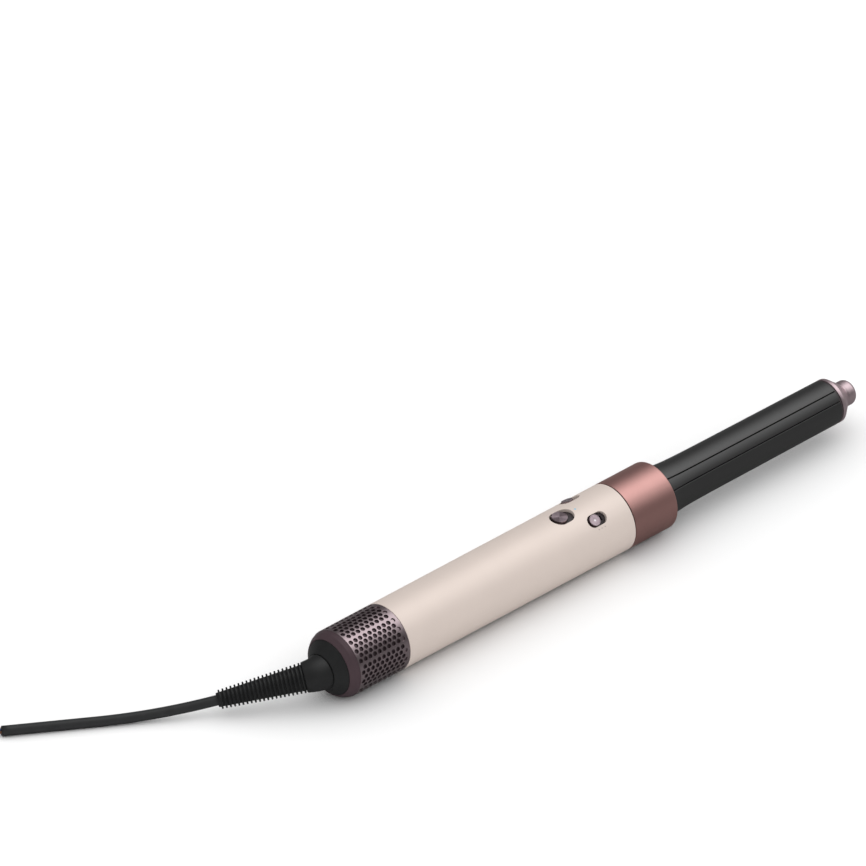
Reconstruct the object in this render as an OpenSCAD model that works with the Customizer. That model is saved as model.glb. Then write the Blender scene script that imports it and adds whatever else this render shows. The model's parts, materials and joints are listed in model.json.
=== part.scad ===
// Automatic hair curler: a hot-air styling wand with a removable slotted barrel.
// The tool's axis is +X, from the cord to the cool tip, and +Z is up from the table it lies on.
// The origin is on the axis, at the seam between the handle and the barrel's collar.

/* [Handle] */
// Outside radius of the handle, the collar and the filter cage
handle_r = 20.5; // [20.5:0.1:22]
// Length of the handle's sleeve, from the filter cage to the collar
sleeve_len = 174.2; // [174:0.2:180]
// Wall of the handle's sleeve
sleeve_wall = 2; // [1.8:0.1:2]
// Width of the dark seam in front of the sleeve
seam = 0.5; // [0.4:0.1:0.8]

/* [Buttons] */
// Radius of the main button
power_r = 4.7; // [4:0.1:5]
// Place of the main button's centre along the axis, at rest
power_x = -42.3; // [-43:0.1:-41]
// Travel of the main button
power_travel = 3.5; // [2:0.1:3.8]
// Radius of each small button
small_r = 3.5; // [3:0.1:3.6]
// Place of the small buttons' centres along the axis, at rest
small_x = -25.4; // [-26:0.1:-25]
// Travel of each small button, over its three stops
small_travel = 4.6; // [4:0.2:4.8]
// Angle between the main button and each small one
small_angle = 34; // [33:1:38]
// Angle that the handle is rolled by on the table, which takes the buttons round the axis
button_roll = 5; // [0:1:10]
// Height of a button's face above the sleeve
button_proud = 0.5; // [0.4:0.1:1.2]

/* [Barrel] */
// Length of the barrel's collar
collar_len = 32.5; // [32:0.5:36]
// Place of the barrel's front end along the axis
barrel_end = 168.4; // [168:0.2:176]
// Radius of the barrel at its front end
barrel_end_r = 13.45; // [13.3:0.05:13.6]
// Gain in radius from the front end to the collar, without the flare
barrel_taper = 0.6; // [0.4:0.1:0.8]
// Further gain in radius at the collar, from the flare
flare_r = 2.45; // [2.2:0.05:2.5]
// Length over which the flare dies away
flare_len = 8.6; // [8:0.2:10]
// Thickness of the staves
stave_wall = 1.2; // [1:0.1:1.2]
// Angle from slot to slot across a narrow stave
narrow_span = 28; // [24:1:34]
// Angle that an air slot takes
slot_span = 2.2; // [2:0.1:4]
// Angle from the top to the middle of the first narrow stave
first_stave = 46; // [0:1:59]

/* [Cool tip] */
// Radius of the tip's knob
knob_r = 7.5; // [7.3:0.1:8.5]
// Radius of the tip's neck
neck_r = 7.2; // [6.8:0.1:7.2]
// Length of the tip in front of the barrel
tip_len = 18.3; // [18:0.1:19]

/* [Filter cage] */
// Length of the perforated part of the cage
cage_len = 37.8; // [37:0.1:38.5]
// Radius of one hole of the cage
hole_r = 1.25; // [0.8:0.05:1.3]
// Distance between holes along the axis
hole_pitch = 3.6; // [3.4:0.1:3.6]
// Sectors of holes round the cage
sectors = 8; // [8:1:8]
// Rows of holes in one sector
sector_rows = 5; // [3:1:5]
// Angle between the rows of a sector
row_step = 8.4; // [8:0.1:9]
// Radius of the cage's rear opening and of the tail cap
tail_r = 16.8; // [16:0.1:16.8]

/* [Cord and boot] */
// Radius of the cord
cord_r = 3; // [2.5:0.1:3]
// Length of the boot, from its pivot to its tip
boot_len = 57; // [50:0.5:60]
// Angle of the boot away from the handle's axis, seen from above
boot_heading = 33.4; // [25:0.1:35]
// Angle of the boot below the horizontal
boot_dip = 11; // [8:0.5:12]
// Number of ribs on the boot
boot_ribs = 21; // [15:1:21]
// Length from the boot's pivot to the cord's cut end, seen from above
cord_reach = 178.4; // [170:0.2:200]

/* [Motor] */
// Radius of the impeller
impeller_r = 13; // [12:0.1:13]
// Number of impeller blades
blades = 13; // [7:2:13]
// Radius of the rotor's shaft
shaft_r = 1.5; // [1.2:0.1:1.6]

/* [Hidden] */

// Sides of large and of small round shapes
sides = 96;
small_sides = 32;
// A running fit, a loose fit, and how far a cut passes through its wall
fit = 0.05;
loose = 0.15;
past = 1;

// The handle's sleeve and its slots
sleeve_front = -seam;
sleeve_back = sleeve_front - sleeve_len;
sleeve_in = handle_r - sleeve_wall;
power_slot_w = 2 * power_r + 2.1;
power_slot_len = power_slot_w + power_travel + 0.4;
power_slot_x = power_x + power_travel / 2 + 0.2;
small_slot_w = 2 * small_r + 0.7;
small_slot_len = small_slot_w + small_travel + 1.1;
small_slot_x = small_x + small_travel / 2 - 0.4;
light_x = -30.2;
light_r = 0.6;

// The tray under the slots, and the carriages and switches under it
tray_r = sleeve_in - loose;
tray_wall = 1.2;
tray_back = power_x - 9.7;
tray_front = small_x + 11.4;
tray_half = 56;
carriage_r = tray_r - tray_wall - 0.1;
carriage_wall = 1.4;
carriage_len = 9;
carriage_half = 14;
pin_w = 1.2;
pin_len = 1.4;
pin_bottom = carriage_r - 2.6;
button_gap = 0.1;
button_edge = 0.5;
post_w = 2.6;
post_len = 3;
post_bottom = carriage_r - 1.05;
socket_bottom = carriage_r - 1.1;
curve_r = 13.35;
curve_wall = 0.5;
curve_half = 50;
switch_top = 15;
switch_bottom = curve_r + 0.1;
switch_len = 11;
switch_w = 7;
groove_w = 1.8;
groove_depth = 0.8;

// The spigot that carries the barrel, its latch and its seal
spigot_r = 17;
spigot_in = 15.4;
spigot_foot = -12;
spigot_len = 26;
seal_x = 23;
seal_r = 0.42;
seal_groove_w = 2.2;
seal_groove_r = spigot_r - 0.9;
latch_x = 12;
latch_len = 15;
latch_w = 4.6;
latch_t = 0.6;
latch_z = 16.25;
bump_r = 0.9;
bump_z = 16.6;
grille_back = -13.6;
grille_t = 1.4;
grille_r = 15.2;
grille_hole_r = 1.6;
grille_step = 4.2;

// The barrel's parts behind and inside the staves
socket_r = spigot_r + 0.1;
socket_end = 27.5;
latch_groove_r = socket_r + 0.8;
latch_groove_half = 1.3;
collar_in = 18.9;
collar_lip = 1.4;
staves_start = collar_len - 2;
staves_end = barrel_end - 1.2;
stave_steps = 16;
neck_end = 44;
diverter_start = 39.5;
diverter_end = barrel_end - 11;
diverter_r = 11.4;
diverter_wall = 0.8;
journal_r = 12.15;
journal_len = 3;
window_len = 24;
window_step = 28;
window_start = 47;
window_half = 12;
spindle_r = 3.95;
end_hub = spindle_r + fit;

// The cool tip
tip_start = barrel_end + 0.2;
tip_end = barrel_end + tip_len;
flange_len = 2.2;
neck_len = 7.6;
neck_fillet = 0.7;
neck_fillet_len = 0.8;
notch_w = 0.9;
notch_from = 1.6;
notch_bottom = neck_r + 0.8;
screw_hole_r = 1.25;
screw_hole_len = 6;

// The filter cage and its frame
cage_front = sleeve_back - 0.2;
cage_back = cage_front - cage_len;
cage_in = handle_r - 0.8;
mesh_in = cage_in - 0.5;
first_hole = 3.3;
ring_len = 5.7;
ring_steps = 6;
ring_back = cage_back - ring_len;
frame_back = ring_back + 2;
frame_r = 18.3;
frame_wall = 1.3;

// The tail cap, the boot and the cord
cap_back = ring_back - 5.9;
pivot_x = cap_back - 4.3;
boot_base_r = 10.5;
elbow_len = 9;
elbow_steps = 6;
boot_sleeve_r = 8.9;
neck_bore = 8;
cap_bore = 12.2;
hub_flange_r = 10.5;
clip_in = 8.6;
rib_first = 7.9;
rib_last = boot_len - 1.9;
rib_pitch = (rib_last - rib_first) / (boot_ribs - 1);
rib_w = 0.95;
rib_depth = 1.3;
rib_first_r = 8.75;
rib_last_r = 5.55;
tip_z = -boot_len * sin(boot_dip);
bend_r = (handle_r - cord_r + tip_z) / (1 - cos(boot_dip));
bend_end = boot_len * cos(boot_dip) + bend_r * sin(boot_dip);
wire_gap = 2.4;
conductor_r = 0.9;

// The motor, its bucket and its mounts
bucket_back = -172;
bucket_front = -128;
bucket_in = 17.3;
bucket_floor_in = 16.2;
casing_back = -170.5;
casing_front = -127;
casing_in = 14.5;
casing_r = 15.5;
bearing_r = 3.55;
bearing_len = 3;
rear_bearing_x = -155;
front_bearing_x = -131.8;
vanes = 11;
vane_t = 0.8;
spokes = 3;
spoke_t = 1.4;
stator_back = -147;
stator_len = 12;
stator_r = 11.5;
stator_in = 10;
rotor_gap_r = 5.2;
pole_w = 3;
magnet_r = 4.4;
impeller_back = -167;
impeller_front = -157.6;
impeller_hub_r = 8.8;
blade_t = 0.7;
blade_len = 11.2;
blade_angle = 28;
mount_len = 4;
wire_z = 16.4;
wire_spread = 8;
mains_wire_r = 0.6;

// The air duct, the heater and the main board
duct_back = -119;
duct_r = 13.6;
duct_wall = 1;
heater_r = 12.2;
heater_wall = 0.5;
heater_back = -66;
heater_front = -20;
former_half = 8.5;
former_t = 0.6;
coil_turns = 8;
coil_r = 9.5;
coil_pitch = 4.4;
coil_steps = 16;
coil_sides = 6;
heating_wire_r = 0.4;
board_z = 14.3;
board_t = 1.4;
board_top = board_z + board_t;
board_back = -120;
board_front = -66;
board_w = 15.6;
screw_inset = 3;
screw_y = 5.8;
boss_r = 1.7;
boss_bottom = 11.6;
chassis_in = 17.2;
chassis_from = 95;
chassis_to = 265;
chassis_front = -15;
chassis_back = -126.6;
web_t = 2;
web_r = 17.4;

// Radius of the barrel's outside at a place along the axis
function barrel_r(x) = barrel_end_r + barrel_taper * (barrel_end - x) / (barrel_end - collar_len)
  + flare_r * exp((collar_len - x) / flare_len);

// ---------- shared shapes ----------

// Lays a shape that is built along +Z down along +X
module along_axis() rotate([0, 90, 0]) children();

// Turns a shape at the top round the axis, towards the side with the flow button
module at_angle(a) rotate([a, 0, 0]) children();

// Places a shape at one of the three buttons: -1 is the heat button, 0 the main one and 1 the flow button
module at_button(side) at_angle(button_roll + side * small_angle) children();

// A body turned about the axis, from an outline of [radius, place along the axis] points
module turned(outline) along_axis() rotate_extrude($fn = sides) polygon(outline);

// The part of a turned body between two angles, counted from the top
module turned_arc(outline, a0, a1)
  along_axis() rotate([0, 0, 180 + a0]) rotate_extrude(angle = a1 - a0, $fn = sides) polygon(outline);

// A straight length of tube along the axis
module tube(x0, x1, outer, inner) turned([[inner, x0], [outer, x0], [outer, x1], [inner, x1]]);

// A rod along the axis
module rod(x0, x1, r) translate([x0, 0, 0]) along_axis() cylinder(r = r, h = x1 - x0, $fn = small_sides);

// A rectangle with round ends, along X
module stadium(len, w) {
  square([len - w, w], center = true);
  for (side = [-1, 1]) translate([side * (len - w) / 2, 0]) circle(d = w, $fn = small_sides);
}

// A round-ended cut through the handle's sleeve, at the top
module slot_cut(x, len, w) translate([x, 0, sleeve_in - past])
  linear_extrude(sleeve_wall + 2 * past) stadium(len, w);

// ---------- handle ----------

module handle_sleeve() color("#e1d5cc") difference() {
  tube(sleeve_back, sleeve_front, handle_r, sleeve_in);
  at_button(0) {
    slot_cut(power_slot_x, power_slot_len, power_slot_w);
    translate([light_x, 0, 0]) cylinder(r = light_r + fit, h = handle_r + past, $fn = small_sides);
  }
  for (side = [-1, 1]) at_button(side) slot_cut(small_slot_x, small_slot_len, small_slot_w);
}

module seam_gasket() color("#1c1a1b")
  tube(sleeve_front + fit, -fit, handle_r - 0.35, spigot_r + fit);

// The tube that the barrel slides onto, with a groove for the seal and a window for the latch
module outlet_spigot() color("#262425") difference() {
  union() {
    tube(spigot_foot, spigot_len, spigot_r, spigot_in);
    tube(spigot_foot, sleeve_front - loose, tray_r, spigot_r - past);
  }
  tube(seal_x - seal_groove_w / 2, seal_x + seal_groove_w / 2, spigot_r + past, seal_groove_r);
  translate([latch_x, 0, spigot_r]) cube([latch_len + 1, latch_w + 1.4, 5], center = true);
}

// A plate in the air's way, with rings of holes
module outlet_grille() color("#7d7b7c") difference() {
  rod(grille_back, grille_back + grille_t, grille_r);
  for (ring = [1:3], i = [0:6 * ring - 1])
    rotate([i * 60 / ring, 0, 0]) translate([grille_back - past, 0, ring * grille_step])
      along_axis() cylinder(r = grille_hole_r, h = grille_t + 2 * past, $fn = small_sides);
}

module latch_spring() color("#b9bcc0") {
  translate([latch_x, 0, latch_z]) cube([latch_len, latch_w, latch_t], center = true);
  translate([latch_x, latch_w / 2, bump_z]) rotate([90, 0, 0])
    cylinder(r = bump_r, h = latch_w, $fn = small_sides);
}

module spigot_seal() color("#111111") along_axis()
  rotate_extrude($fn = sides) translate([seal_groove_r + seal_r + 0.03, seal_x])
    circle(r = seal_r, $fn = small_sides);

// An opening in the tray for a button's post
module post_cut(x, travel) translate([x + travel / 2, 0, tray_r - tray_wall - past])
  linear_extrude(tray_wall + 2 * past) square([post_len + travel + 0.6, post_w + 0.4], center = true);

module control_tray() color("#2c2527") difference() {
  turned_arc([[tray_r - tray_wall, tray_back], [tray_r, tray_back], [tray_r, tray_front],
    [tray_r - tray_wall, tray_front]], button_roll - tray_half, button_roll + tray_half);
  at_button(0) {
    post_cut(power_x, power_travel);
    translate([light_x, 0, 0]) cylinder(r = light_r + fit, h = handle_r, $fn = small_sides);
  }
  for (side = [-1, 1]) at_button(side) post_cut(small_x, small_travel);
}

// A flexible board, curved under the switches
module control_board() color("#1f5a3c") turned_arc([[curve_r - curve_wall, tray_back],
  [curve_r, tray_back], [curve_r, tray_front], [curve_r - curve_wall, tray_front]],
  button_roll - curve_half, button_roll + curve_half);

// One slide switch under a carriage, with a groove for the carriage's pin
module slide_switch(x, travel) translate([x + travel / 2, 0, 0]) difference() {
  translate([-switch_len / 2, -switch_w / 2, switch_bottom])
    cube([switch_len, switch_w, switch_top - switch_bottom]);
  translate([0, 0, switch_top]) cube([travel + 2, groove_w, 2 * groove_depth], center = true);
}

module slide_switches() color("#3a3a3d") {
  at_button(0) slide_switch(power_x, power_travel);
  for (side = [-1, 1]) at_button(side) slide_switch(small_x, small_travel);
}

module status_light() color("#9fd8f2") at_button(0)
  translate([light_x, 0, curve_r + fit])
    cylinder(r = light_r, h = handle_r - curve_r - 2 * fit, $fn = small_sides);

// ---------- buttons ----------

// A slide button at the top: its face, and the post under it
module button(x, r) translate([x, 0, 0]) {
  rotate_extrude($fn = sides) polygon([[0, tray_r + button_gap], [r, tray_r + button_gap],
    [r, handle_r + button_proud - button_edge], [r - button_edge, handle_r + button_proud],
    [0, handle_r + button_proud]]);
  translate([-post_len / 2, -post_w / 2, post_bottom])
    cube([post_len, post_w, tray_r + 2 * button_gap - post_bottom]);
}

// The curved block under the tray that a button's post drives, with its pin for the switch
module carriage(x) translate([x, 0, 0]) {
  difference() {
    turned_arc([[carriage_r - carriage_wall, -carriage_len / 2], [carriage_r, -carriage_len / 2],
      [carriage_r, carriage_len / 2], [carriage_r - carriage_wall, carriage_len / 2]],
      -carriage_half, carriage_half);
    translate([-post_len / 2 - fit, -post_w / 2 - fit, socket_bottom])
      cube([post_len + 2 * fit, post_w + 2 * fit, carriage_wall + past]);
  }
  translate([-pin_len / 2, -pin_w / 2, pin_bottom]) cube([pin_len, pin_w, socket_bottom - pin_bottom]);
}

module power_button() color("#beaab2") at_button(0) button(power_x, power_r);
module power_carriage() color("#4a4a4e") at_button(0) carriage(power_x);
module flow_button() color("#beaab2") at_button(1) button(small_x, small_r);
module flow_carriage() color("#4a4a4e") at_button(1) carriage(small_x);
module heat_button() color("#beaab2") at_button(-1) button(small_x, small_r);
module heat_carriage() color("#4a4a4e") at_button(-1) carriage(small_x);

// ---------- heater, duct and boards ----------

module heater_tube() color("#cfc8bb")
  tube(heater_back, heater_front, heater_r, heater_r - heater_wall);

// A cross of three mica cards: one whole, and one that is split where they meet
module heater_former() color("#d9cfae") translate([heater_back + 2, 0, 0]) {
  len = heater_front - heater_back - 4;
  translate([0, -former_half, -former_t / 2]) cube([len, 2 * former_half, former_t]);
  for (side = [-1, 1]) rotate([90 * side, 0, 0])
    translate([0, former_t / 2 + fit, -former_t / 2]) cube([len, former_half - former_t / 2 - fit, former_t]);
}

// The heating wire: rings of points along a helix, joined into one closed tube
module heater_coil() color("#b0704a") {
  count = coil_turns * coil_steps;
  points = [for (i = [0:count], j = [0:coil_sides - 1])
    let (a = i * 360 / coil_steps, b = j * 360 / coil_sides, r = coil_r + heating_wire_r * cos(b))
      [heater_back + 6 + coil_pitch * i / coil_steps + heating_wire_r * sin(b), r * cos(a), r * sin(a)]];
  walls = [for (i = [0:count - 1], j = [0:coil_sides - 1])
    let (a = i * coil_sides + j, b = i * coil_sides + (j + 1) % coil_sides)
      [a, b, b + coil_sides, a + coil_sides]];
  first_cap = [for (j = [0:coil_sides - 1]) coil_sides - 1 - j];
  last_cap = [for (j = [0:coil_sides - 1]) count * coil_sides + j];
  polyhedron(points, concat([first_cap, last_cap], walls));
}

module thermal_fuse() color("#c9cdd2") translate([0, 4.5, 4.5]) rod(-44, -34, 1.6);

// Places a shape at each of the main board's four screws
module at_screws() for (x = [board_back + screw_inset, board_front - screw_inset], y = [-screw_y, screw_y])
  translate([x, y, 0]) children();

// The air's way from the motor to the heater, with bosses for the main board
module air_duct() color("#37373a") difference() {
  union() {
    turned([[casing_in, casing_front + 0.4], [casing_r, casing_front + 0.4], [casing_r, duct_back - 5],
      [duct_r, duct_back], [duct_r, heater_back - 0.5], [duct_r - duct_wall, heater_back - 0.5],
      [duct_r - duct_wall, duct_back], [casing_in, duct_back - 5]]);
    at_screws() translate([0, 0, boss_bottom])
      cylinder(r = boss_r, h = board_z - fit - boss_bottom, $fn = small_sides);
  }
  rod(duct_back, heater_back, duct_r - duct_wall);
  at_screws() translate([0, 0, duct_r - 0.8]) cylinder(r = 0.75, h = 4, $fn = small_sides);
}

// The half shell under the duct and the heater, with a web at each of four places
module chassis() color("#4b4b50") difference() {
  union() {
    turned_arc([[chassis_in, chassis_back], [tray_r, chassis_back], [tray_r, chassis_front],
      [chassis_in, chassis_front]], chassis_from, chassis_to);
    for (x = [-112, -74]) web(x, duct_r);
    for (x = [-58, -28]) web(x, heater_r);
  }
  for (x = [-100, -86, -43]) translate([x, 0, -handle_r]) linear_extrude(8) stadium(9, 5);
}

// One web of the chassis, from a tube of radius r out to the shell
module web(x, r) turned_arc([[r + fit, x - web_t / 2], [web_r, x - web_t / 2], [web_r, x + web_t / 2],
  [r + fit, x + web_t / 2]], chassis_from, chassis_to);

module main_board() color("#1d4f37") difference() {
  translate([board_back, -board_w / 2, board_z]) cube([board_front - board_back, board_w, board_t]);
  at_screws() translate([0, 0, board_z - past]) cylinder(r = 0.85, h = 4, $fn = small_sides);
}

module board_parts() color("#2b2b2f") translate([0, 0, board_top + 0.02]) {
  for (i = [0:3]) translate([board_back + 9 + i * 9, -3, 0]) cube([6, 6, 1.4]);
  for (y = [-4.5, 4.5]) translate([board_front - 9, y, 0]) cylinder(r = 1.3, h = 1.3, $fn = small_sides);
}

module board_screws() color("#c2c4c8") at_screws() {
  translate([0, 0, duct_r - 0.6]) cylinder(r = 0.7, h = board_top + 0.1 - duct_r + 0.6, $fn = small_sides);
  translate([0, 0, board_top + 0.03]) cylinder(r = 1.4, h = 0.8, $fn = small_sides);
}

module mains_wires() color("#8c2f2b") for (side = [-1, 1]) at_angle(side * wire_spread)
  translate([0, 0, wire_z]) rod(casing_back, casing_front + 3.5, mains_wire_r);

// ---------- motor ----------

module motor_bucket() color("#303034") turned([[bucket_floor_in, bucket_back], [tray_r, bucket_back],
  [tray_r, bucket_front], [bucket_in, bucket_front], [bucket_in, bucket_back + 1.2],
  [bucket_floor_in, bucket_back + 1.2]]);

// A rubber ring between the bucket and the motor, with holes for the wires
module rubber_mount(x) difference() {
  tube(x, x + mount_len, bucket_in - fit, casing_r + fit);
  for (side = [-1, 1]) at_angle(side * wire_spread)
    translate([0, 0, wire_z]) rod(x - past, x + mount_len + past, mains_wire_r + 0.1);
}
module front_mount() color("#18181a") rubber_mount(bucket_front - 7);
module rear_mount() color("#18181a") rubber_mount(bucket_back + 4);

// The motor's housing: a tube, with vanes to one bearing and spokes to the other
module motor_casing() color("#a9adb3") {
  tube(casing_back, casing_front, casing_r, casing_in);
  tube(rear_bearing_x - 1.5, rear_bearing_x + 4.5, 9.2, bearing_r + fit);
  for (i = [0:vanes - 1]) rotate([i * 360 / vanes, 0, 0])
    translate([rear_bearing_x - 1, -vane_t / 2, 9]) cube([5, vane_t, casing_in - 8.8]);
  tube(front_bearing_x - 0.2, front_bearing_x + 3.3, 5.2, bearing_r + fit);
  for (i = [0:spokes - 1]) rotate([i * 360 / spokes + 60, 0, 0])
    translate([front_bearing_x + 0.3, -spoke_t / 2, 5]) cube([2.6, spoke_t, casing_in - 4.8]);
}

// A ring of laminations with four poles, held in the casing by four ears
module stator_core() color("#6d7278") difference() {
  union() {
    tube(stator_back, stator_back + stator_len, stator_r, stator_in);
    for (i = [0:3]) rotate([i * 90, 0, 0]) translate([stator_back, -pole_w / 2, 5])
      cube([stator_len, pole_w, stator_in - 4.5]);
    for (i = [0:3]) rotate([i * 90 + 45, 0, 0]) translate([stator_back + 3, -0.6, stator_r - 0.5])
      cube([6, 1.2, casing_in - fit - stator_r + 0.5]);
  }
  rod(stator_back - past, stator_back + stator_len + past, rotor_gap_r);
}

// A racetrack of copper round each pole
module stator_coils() color("#b8703c") for (i = [0:3]) rotate([i * 90, 0, 0])
  translate([stator_back + stator_len / 2, 0, 6]) difference() {
    linear_extrude(3.4) square([stator_len + 3.4, pole_w + 3.4], center = true);
    translate([0, 0, -past]) linear_extrude(6) square([stator_len + 0.2, pole_w + 0.2], center = true);
  }

module bearing(x) tube(x, x + bearing_len, bearing_r, shaft_r + 0.03);
module front_bearing() color("#d4d6da") bearing(front_bearing_x);
module rear_bearing() color("#d4d6da") bearing(rear_bearing_x);

module rotor_shaft() color("#c7cacf") rod(casing_back + 1, casing_front - 0.5, shaft_r);
module rotor_magnet() color("#55585e")
  tube(stator_back - 0.5, stator_back + stator_len + 0.5, magnet_r, shaft_r + 0.01);

module impeller() color("#d8d6cf") difference() {
  union() {
    turned([[0, impeller_back], [3.2, impeller_back], [5.5, impeller_back + 4],
      [impeller_hub_r, impeller_front - 1], [impeller_hub_r, impeller_front], [0, impeller_front]]);
    intersection() {
      for (i = [0:blades - 1]) rotate([i * 360 / blades, 0, 0])
        translate([(impeller_back + impeller_front) / 2 - 0.4, 0, 2.5]) rotate([0, 0, blade_angle])
          translate([-blade_len / 2, -blade_t / 2, 0]) cube([blade_len, blade_t, impeller_r]);
      tube(impeller_back + 0.4, impeller_front - 0.8, impeller_r, 2.4);
    }
  }
  rod(impeller_back - past, impeller_front + past, shaft_r + 0.01);
}

module impeller_nut() color("#b5b8bd") turned([[shaft_r + 0.01, impeller_back - 2.2],
  [2.2, impeller_back - 2.2], [3.1, impeller_back - 0.1], [shaft_r + 0.01, impeller_back - 0.1]]);

// ---------- barrel ----------

module barrel_collar() color("#be8782") {
  lip_back = collar_len - collar_lip;
  turned([[collar_in, 0], [handle_r, 0], [handle_r, collar_len - 1.1],
    [handle_r - 0.35, collar_len - 0.35], [handle_r - 1.1, collar_len],
    [barrel_r(collar_len) + loose, collar_len], [barrel_r(lip_back) + loose, lip_back],
    [collar_in, lip_back]]);
}

// The socket on the spigot, and the cone that carries the staves and the diverter's journal
module barrel_base() color("#2e2f30") difference() {
  turned([[socket_r, 0.3], [collar_in - fit, 0.3], [collar_in - fit, staves_start - 0.1],
    [barrel_r(staves_start) - stave_wall - fit, staves_start - 0.1], [15.2, staves_start + 1],
    [14.1, staves_start + 4.5], [13.2, neck_end - 5],
    [barrel_r(neck_end) - stave_wall - 0.25, neck_end], [journal_r + fit, neck_end],
    [journal_r + fit, diverter_start - 0.2], [13, 35], [14.3, 31], [spigot_in, socket_end],
    [socket_r, socket_end]]);
  tube(latch_x - latch_groove_half, latch_x + latch_groove_half, latch_groove_r, socket_r - past);
}

// One stave that reaches an angle to each side of the top, following the barrel's flare
module stave(half) {
  places = [for (i = [0:stave_steps]) staves_start + (staves_end - staves_start) * (i / stave_steps) ^ 2];
  outside = [for (x = places) [barrel_r(x), x]];
  inside = [for (i = [stave_steps:-1:0]) [barrel_r(places[i]) - stave_wall, places[i]]];
  turned_arc(concat(outside, inside), -half, half);
}

module narrow_staves() color("#3c3e3e") for (i = [0:2]) at_angle(first_stave + i * 120)
  stave((narrow_span - slot_span) / 2);

module wide_staves() color("#3f4141") for (i = [0:2]) at_angle(first_stave + 60 + i * 120)
  stave((120 - narrow_span - slot_span) / 2);

// A plug in front of the staves, with a hub for the tip's spindle
module barrel_end_ring() color("#1f1f20") {
  skirt = barrel_end - 8;
  turned([[end_hub, barrel_end - 6], [6, barrel_end - 6], [6, barrel_end - 3.4],
    [11, barrel_end - 3.4], [11, skirt], [barrel_r(skirt) - stave_wall - 0.1, skirt],
    [barrel_r(barrel_end) - stave_wall - fit, staves_end], [barrel_end_r - loose, staves_end + fit],
    [barrel_end_r - loose, barrel_end], [end_hub, barrel_end]]);
}

// ---------- cool tip and diverter ----------

// A flange as wide as the barrel, a cone down to the neck with four flat notches across it, and a rounded knob
module cool_tip() color("#c8b2b4") {
  sweep = barrel_end_r - neck_r;
  neck = tip_start + flange_len + neck_len;
  flare = [[barrel_end_r, tip_start + flange_len], [neck_r + neck_fillet, neck - neck_fillet_len],
    [neck_r, neck]];
  knob = [[knob_r, neck + 1], [knob_r, tip_end - 2.7], [knob_r - 0.4, tip_end - 1.6],
    [knob_r - 1.5, tip_end - 0.5], [knob_r - 3, tip_end], [0, tip_end]];
  difference() {
    turned(concat([[0, tip_start], [barrel_end_r, tip_start]], flare, knob));
    rod(tip_start - past, tip_start + 5, spindle_r + 0.02);
    for (i = [0:3]) rotate([i * 90, 0, 0]) translate([neck - notch_from - notch_w, -neck_r, notch_bottom])
      cube([notch_w, 2 * neck_r, sweep]);
  }
}

module tip_spindle() color("#8d9096") difference() {
  rod(diverter_end + fit, tip_start + 4.9, spindle_r);
  rod(diverter_end - past, diverter_end + screw_hole_len, screw_hole_r);
}

module tip_screw() color("#c2c4c8") {
  rod(diverter_end - 1.6, diverter_end + screw_hole_len - 0.2, screw_hole_r - fit);
  rod(diverter_end - 3.2, diverter_end - 1.55, 2.4);
}

// The inner tube that sends the air to one side of the staves or the other, through its windows
module diverter_sleeve() color("#6b6b6e") difference() {
  union() {
    tube(diverter_start, diverter_end, diverter_r, diverter_r - diverter_wall);
    tube(diverter_start, diverter_start + journal_len, journal_r, diverter_r - diverter_wall / 2);
    tube(diverter_end - 1.5, diverter_end, diverter_r, screw_hole_r + fit);
  }
  for (i = [0:2], k = [0:3]) at_angle(first_stave + i * 120 + narrow_span / 2)
    translate([window_start + k * window_step, 0, 0])
      turned_arc([[diverter_r - 2, 0], [diverter_r + past, 0], [diverter_r + past, window_len],
        [diverter_r - 2, window_len]], -window_half, window_half);
}

// ---------- filter cage ----------

// The holes of one row. A shifted row starts half a pitch later, and the others leave out their first place
module hole_row(shifted) for (i = [(shifted ? 0 : 1):(shifted ? 8 : 9)])
  translate([cage_front - first_hole - hole_pitch * (i + (shifted ? 0.5 : 0)), 0, cage_in - past])
    cylinder(r = hole_r, h = handle_r - cage_in + 2 * past, $fn = small_sides);

module filter_cage() color("#64525a") difference() {
  tube(cage_back, cage_front, handle_r, cage_in);
  for (s = [0:sectors - 1], k = [0:sector_rows - 1])
    at_angle(s * 360 / sectors + (k - (sector_rows - 1) / 2) * row_step)
      hole_row((s * sector_rows + k) % 2 == 0);
}

// The convex ring that closes the cage round the tail cap
module cage_rear_ring() color("#524448") {
  front = cage_back - fit;
  big = handle_r - 0.3;
  outside = [for (i = [0:ring_steps]) let (t = i / ring_steps)
    [big - (big - tail_r - 0.5) * t ^ 1.5, front - (front - ring_back) * t]];
  turned(concat(outside, [[tail_r + 0.1, ring_back], [tail_r + 0.1, ring_back + 1.4],
    [mesh_in - 0.4, cage_back - 0.9], [mesh_in - 0.4, front]]));
}

module filter_mesh() color("#9a9a9c")
  tube(cage_back + 0.1, cage_front - 1.5, cage_in - fit, mesh_in);

// The fixed frame under the mesh, with eight windows for the air
module filter_frame() color("#3b3538") difference() {
  union() {
    tube(cage_back + 2, bucket_back - 0.2, frame_r, frame_r - frame_wall);
    tube(frame_back, cage_back + 2.5, tail_r - 0.2, tail_r - 1.8);
    tube(cage_back + 1.5, cage_back + 3.5, frame_r, tail_r - 1.8);
  }
  for (i = [0:7]) rotate([i * 45, 0, 0]) turned_arc([[frame_r - 2, cage_back + 6],
    [frame_r + past, cage_back + 6], [frame_r + past, cage_front - 4], [frame_r - 2, cage_front - 4]],
    -16, 16);
}

// ---------- tail, boot and cord ----------

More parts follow.
